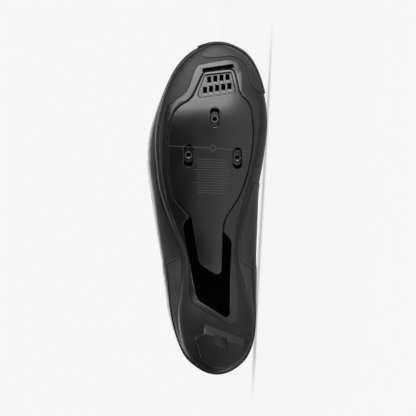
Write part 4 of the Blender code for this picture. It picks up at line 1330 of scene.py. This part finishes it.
def linked(tree, kind, settings=None, **inputs):
    """A new node with its settings and its inputs, which are values or other nodes' outputs."""
    node = tree.nodes.new(kind)
    for key, value in (settings or {}).items():
        setattr(node, key, value)
    for key, value in inputs.items():
        socket = node.inputs[int(key[1:])] if key[0] == "i" and key[1:].isdigit() else node.inputs[key]
        if isinstance(value, bpy.types.NodeSocket):
            tree.links.new(value, socket)
        else:
            socket.default_value = value
    return node


def dots(tree, vector, pitch, radius):
    """1 inside round dots set out in rows at a pitch, 0 outside."""
    scaled = linked(tree, "ShaderNodeVectorMath", {"operation": "SCALE"}, i0=vector)
    scaled.inputs["Scale"].default_value = 1.0 / pitch
    part = linked(tree, "ShaderNodeVectorMath", {"operation": "FRACTION"}, i0=scaled.outputs[0])
    moved = linked(tree, "ShaderNodeVectorMath", {"operation": "SUBTRACT"}, i0=part.outputs[0])
    moved.inputs[1].default_value = (0.5, 0.5, 0.0)
    flat = linked(tree, "ShaderNodeVectorMath", {"operation": "MULTIPLY"}, i0=moved.outputs[0])
    flat.inputs[1].default_value = (1.0, 1.0, 0.0)
    far = linked(tree, "ShaderNodeVectorMath", {"operation": "LENGTH"}, i0=flat.outputs[0])
    made = linked(tree, "ShaderNodeMapRange", {"interpolation_type": "SMOOTHSTEP"}, i0=far.outputs["Value"],
                  i1=radius * 0.75, i2=radius * 1.15, i3=1.0, i4=0.0)
    return made.outputs[0]


def finish_material(name, colour, roughness, spread=0.06, grain=1500.0, relief=0.00004, metallic=0.0,
                    coat=0.0, sheen=0.0, dust=0.25, specular=0.5, pattern=None):
    """A material whose colour, roughness and relief vary with noise, with rows of holes or a weave, the
    holes darkened in colour as painted shade.
    """
    material = bpy.data.materials.new(name)
    material.use_nodes = True
    tree = material.node_tree
    shader = tree.nodes["Principled BSDF"]
    shader.inputs["Metallic"].default_value = metallic
    shader.inputs["Coat Weight"].default_value = coat
    shader.inputs["Coat Roughness"].default_value = 0.08
    shader.inputs["Sheen Weight"].default_value = sheen
    shader.inputs["Specular IOR Level"].default_value = specular
    place = tree.nodes.new("ShaderNodeTexCoord")
    spots = place.outputs["Object"]
    wide = linked(tree, "ShaderNodeTexNoise", Vector=spots, Scale=38.0, Detail=5.0, Roughness=0.6)
    fine = linked(tree, "ShaderNodeTexNoise", Vector=spots, Scale=grain, Detail=3.0, Roughness=0.55)
    scuff = linked(tree, "ShaderNodeTexNoise", Vector=spots, Scale=300.0, Detail=8.0, Roughness=0.75)
    marks = linked(tree, "ShaderNodeMapRange", i0=scuff.outputs[0], i1=0.60, i2=0.78, i3=0.0, i4=dust)
    tone = linked(tree, "ShaderNodeMapRange", i0=wide.outputs[0], i1=0.3, i2=0.7, i3=0.80, i4=1.25)
    base = linked(tree, "ShaderNodeMix", {"data_type": "RGBA"})
    base.inputs[6].default_value = (*colour, 1.0)
    base.inputs[7].default_value = (*[min(value * 2.6 + 0.02, 1.0) for value in colour], 1.0)
    tree.links.new(marks.outputs[0], base.inputs[0])
    toned = linked(tree, "ShaderNodeVectorMath", {"operation": "SCALE"}, i0=base.outputs[2])
    tree.links.new(tone.outputs[0], toned.inputs["Scale"])
    result = toned.outputs[0]
    rough = linked(tree, "ShaderNodeMapRange", i0=wide.outputs[0], i1=0.3, i2=0.7,
                   i3=max(roughness - spread, 0.05), i4=min(roughness + spread, 1.0))
    bump = linked(tree, "ShaderNodeBump", Height=fine.outputs[0], Strength=0.6, Distance=relief)
    if pattern:
        pitch, radius, depth, first, last = pattern
        chart = place.outputs["UV"]
        holes = dots(tree, chart, pitch, radius)
        run = linked(tree, "ShaderNodeSeparateXYZ", i0=chart)
        starts = linked(tree, "ShaderNodeMapRange", i0=run.outputs[0], i1=first - 0.004, i2=first + 0.004)
        stops = linked(tree, "ShaderNodeMapRange", i0=run.outputs[0], i1=last - 0.004, i2=last + 0.004,
                       i3=1.0, i4=0.0)
        both = linked(tree, "ShaderNodeMath", {"operation": "MULTIPLY"}, i0=starts.outputs[0],
                      i1=stops.outputs[0])
        shown = linked(tree, "ShaderNodeMath", {"operation": "MULTIPLY"}, i0=both.outputs[0], i1=holes)
        # The holes of the pattern are darkened in colour as painted shade inside them, and the inverted bump
        # sinks them.
        painted_hole_shade = linked(tree, "ShaderNodeMath", {"operation": "MULTIPLY_ADD"}, i0=shown.outputs[0],
                        i1=-0.85, i2=1.0)
        shaded = linked(tree, "ShaderNodeVectorMath", {"operation": "SCALE"}, i0=result)
        tree.links.new(painted_hole_shade.outputs[0], shaded.inputs["Scale"])
        result = shaded.outputs[0]
        deeper = linked(tree, "ShaderNodeBump", {"invert": True}, Height=shown.outputs[0], Strength=1.0,
                        Distance=depth, Normal=bump.outputs[0])
        bump = deeper
    tree.links.new(result, shader.inputs["Base Color"])
    tree.links.new(rough.outputs[0], shader.inputs["Roughness"])
    tree.links.new(bump.outputs[0], shader.inputs["Normal"])
    return material


NYLON = finish_material("nylon", (0.007, 0.007, 0.0075), 0.24, grain=2200.0, relief=0.00002)
MATT_NYLON = finish_material("matt_nylon", (0.011, 0.011, 0.012), 0.50, grain=1800.0, relief=0.00005,
                             specular=0.25)
# Near-black and without shine: painted shade for the recess floors and for the perforation dots.
PAINTED_SHADE_BLACK = finish_material("painted_shade_black", (0.0008, 0.0008, 0.0008), 0.90, grain=1800.0, relief=0.00002,
                             dust=0.0, specular=0.0)
GLOSS = finish_material("gloss", (0.005, 0.005, 0.0055), 0.24, grain=2600.0, relief=0.00002, coat=0.2)
RUBBER = finish_material("rubber", (0.012, 0.012, 0.013), 0.48, grain=1800.0, relief=0.00006,
                         specular=0.35)
PAD_RUBBER = finish_material("pad_rubber", (0.007, 0.007, 0.0075), 0.34, grain=1800.0, relief=0.00003,
                             specular=0.35)
LEATHER = finish_material("leather", (0.019, 0.019, 0.020), 0.46, grain=1100.0, relief=0.00012,
                          pattern=(0.0028, 0.24, 0.0003, 0.205, 0.395))
SMOOTH_SKIN = finish_material("smooth_skin", (0.015, 0.015, 0.016), 0.38, grain=1500.0, relief=0.00008)
LINING = finish_material("lining", (0.028, 0.028, 0.030), 0.85, grain=3000.0, relief=0.00012, sheen=0.25,
                         pattern=(0.0013, 0.34, 0.0002, -1.0, 2.0))
TONGUE_CLOTH = finish_material("tongue_cloth", (0.026, 0.026, 0.028), 0.80, grain=2600.0, relief=0.00012,
                               sheen=0.2, pattern=(0.0024, 0.26, 0.0003, -1.0, 2.0))
WEBBING = finish_material("webbing", (0.022, 0.022, 0.024), 0.58, grain=2000.0, relief=0.00012,
                          pattern=(0.0010, 0.40, 0.0001, -1.0, 2.0))
THREAD = finish_material("thread", (0.060, 0.060, 0.063), 0.70, grain=5000.0, relief=0.00005, dust=0.0)
STEEL = finish_material("steel", (0.22, 0.22, 0.23), 0.36, grain=1200.0, relief=0.00003, metallic=1.0,
                        dust=0.3)
MARKING = finish_material("marking", (0.075, 0.075, 0.078), 0.45, grain=3000.0, relief=0.00001, dust=0.0)

build_outsole()
build_panel()
build_pad()
build_upper()
build_overlays()
build_counter()
build_bumper()
build_tongue()
build_straps()
build_insole()
build_graduations()


def plain_material(name, colour, roughness):
    """A material for the studio's floor, with a faint unevenness."""
    material = bpy.data.materials.new(name)
    material.use_nodes = True
    tree = material.node_tree
    shader = tree.nodes["Principled BSDF"]
    shader.inputs["Base Color"].default_value = (*colour, 1.0)
    shader.inputs["Specular IOR Level"].default_value = 0.1
    noise = linked(tree, "ShaderNodeTexNoise", Scale=3.0, Detail=2.0)
    rough = linked(tree, "ShaderNodeMapRange", i0=noise.outputs[0], i3=roughness - 0.05, i4=roughness + 0.05)
    tree.links.new(rough.outputs[0], shader.inputs["Roughness"])
    return material


def build_studio():
    """The pale floor, the soft lights and the camera."""
    form = bmesh.new()
    bmesh.ops.create_circle(form, cap_ends=True, segments=96, radius=FLOOR_RADIUS)
    mesh = bpy.data.meshes.new("floor")
    form.to_mesh(mesh)
    form.free()
    mesh.materials.append(plain_material("floor", FLOOR_COLOUR, 0.9))
    floor = bpy.data.objects.new("floor", mesh)
    bpy.context.collection.objects.link(floor)

    world = bpy.data.worlds.new("studio")
    bpy.context.scene.world = world
    world.use_nodes = True
    tree = world.node_tree
    tree.nodes.clear()
    seen = linked(tree, "ShaderNodeBackground")
    seen.inputs["Color"].default_value = (*BACKDROP, 1.0)
    seen.inputs["Strength"].default_value = 1.0
    lights = linked(tree, "ShaderNodeBackground")
    lights.inputs["Color"].default_value = (1.0, 1.0, 1.0, 1.0)
    lights.inputs["Strength"].default_value = AMBIENT
    path = tree.nodes.new("ShaderNodeLightPath")
    mix = tree.nodes.new("ShaderNodeMixShader")
    tree.links.new(path.outputs["Is Camera Ray"], mix.inputs[0])
    tree.links.new(lights.outputs[0], mix.inputs[1])
    tree.links.new(seen.outputs[0], mix.inputs[2])
    out = tree.nodes.new("ShaderNodeOutputWorld")
    tree.links.new(mix.outputs[0], out.inputs[0])

    spared = bpy.data.collections.new("all_but_floor")
    spared.objects.link(floor)
    spared.collection_objects[0].light_linking.link_state = "EXCLUDE"
    only = bpy.data.collections.new("floor_only")
    only.objects.link(floor)
    suns = (("sky_light", SKY_POWER, True, None), ("fill_light", FILL_POWER, False, only))
    for name, power, shades, receivers in suns:
        sun = bpy.data.lights.new(name, "SUN")
        sun.energy = power
        sun.angle = SKY_ANGLE
        sun.use_shadow = shades
        high = bpy.data.objects.new(name, sun)
        bpy.context.collection.objects.link(high)
        high.rotation_mode = "QUATERNION"
        high.rotation_quaternion = Vector(SKY_RUN).to_track_quat("-Z", "Y")
        high.light_linking.receiver_collection = receivers
    for name, place, target, width, height, power in LIGHTS:
        lamp = bpy.data.lights.new(name, "AREA")
        lamp.shape = "RECTANGLE"
        lamp.size = width
        lamp.size_y = height
        lamp.energy = power
        item = bpy.data.objects.new(name, lamp)
        bpy.context.collection.objects.link(item)
        item.location = place
        item.rotation_mode = "QUATERNION"
        item.rotation_quaternion = (Vector(target) - Vector(place)).to_track_quat("-Z", "Y")
        item.visible_camera = False
        item.light_linking.receiver_collection = spared

    camera = bpy.data.cameras.new("camera")
    camera.sensor_width = SENSOR
    camera.lens = SENSOR * CAMERA_DISTANCE / PICTURE_WIDTH
    eye = bpy.data.objects.new("camera", camera)
    bpy.context.collection.objects.link(eye)
    turn = Matrix(((0.0, 1.0, 0.0), (1.0, 0.0, 0.0), (0.0, 0.0, -1.0))).transposed().to_4x4()
    stand = Matrix.Translation((CAMERA_ALONG, CAMERA_ACROSS, -CAMERA_DISTANCE)) @ turn
    eye.matrix_world = LYING @ stand
    bpy.context.scene.camera = eye
    bpy.context.scene.view_settings.view_transform = "Standard"


build_studio()
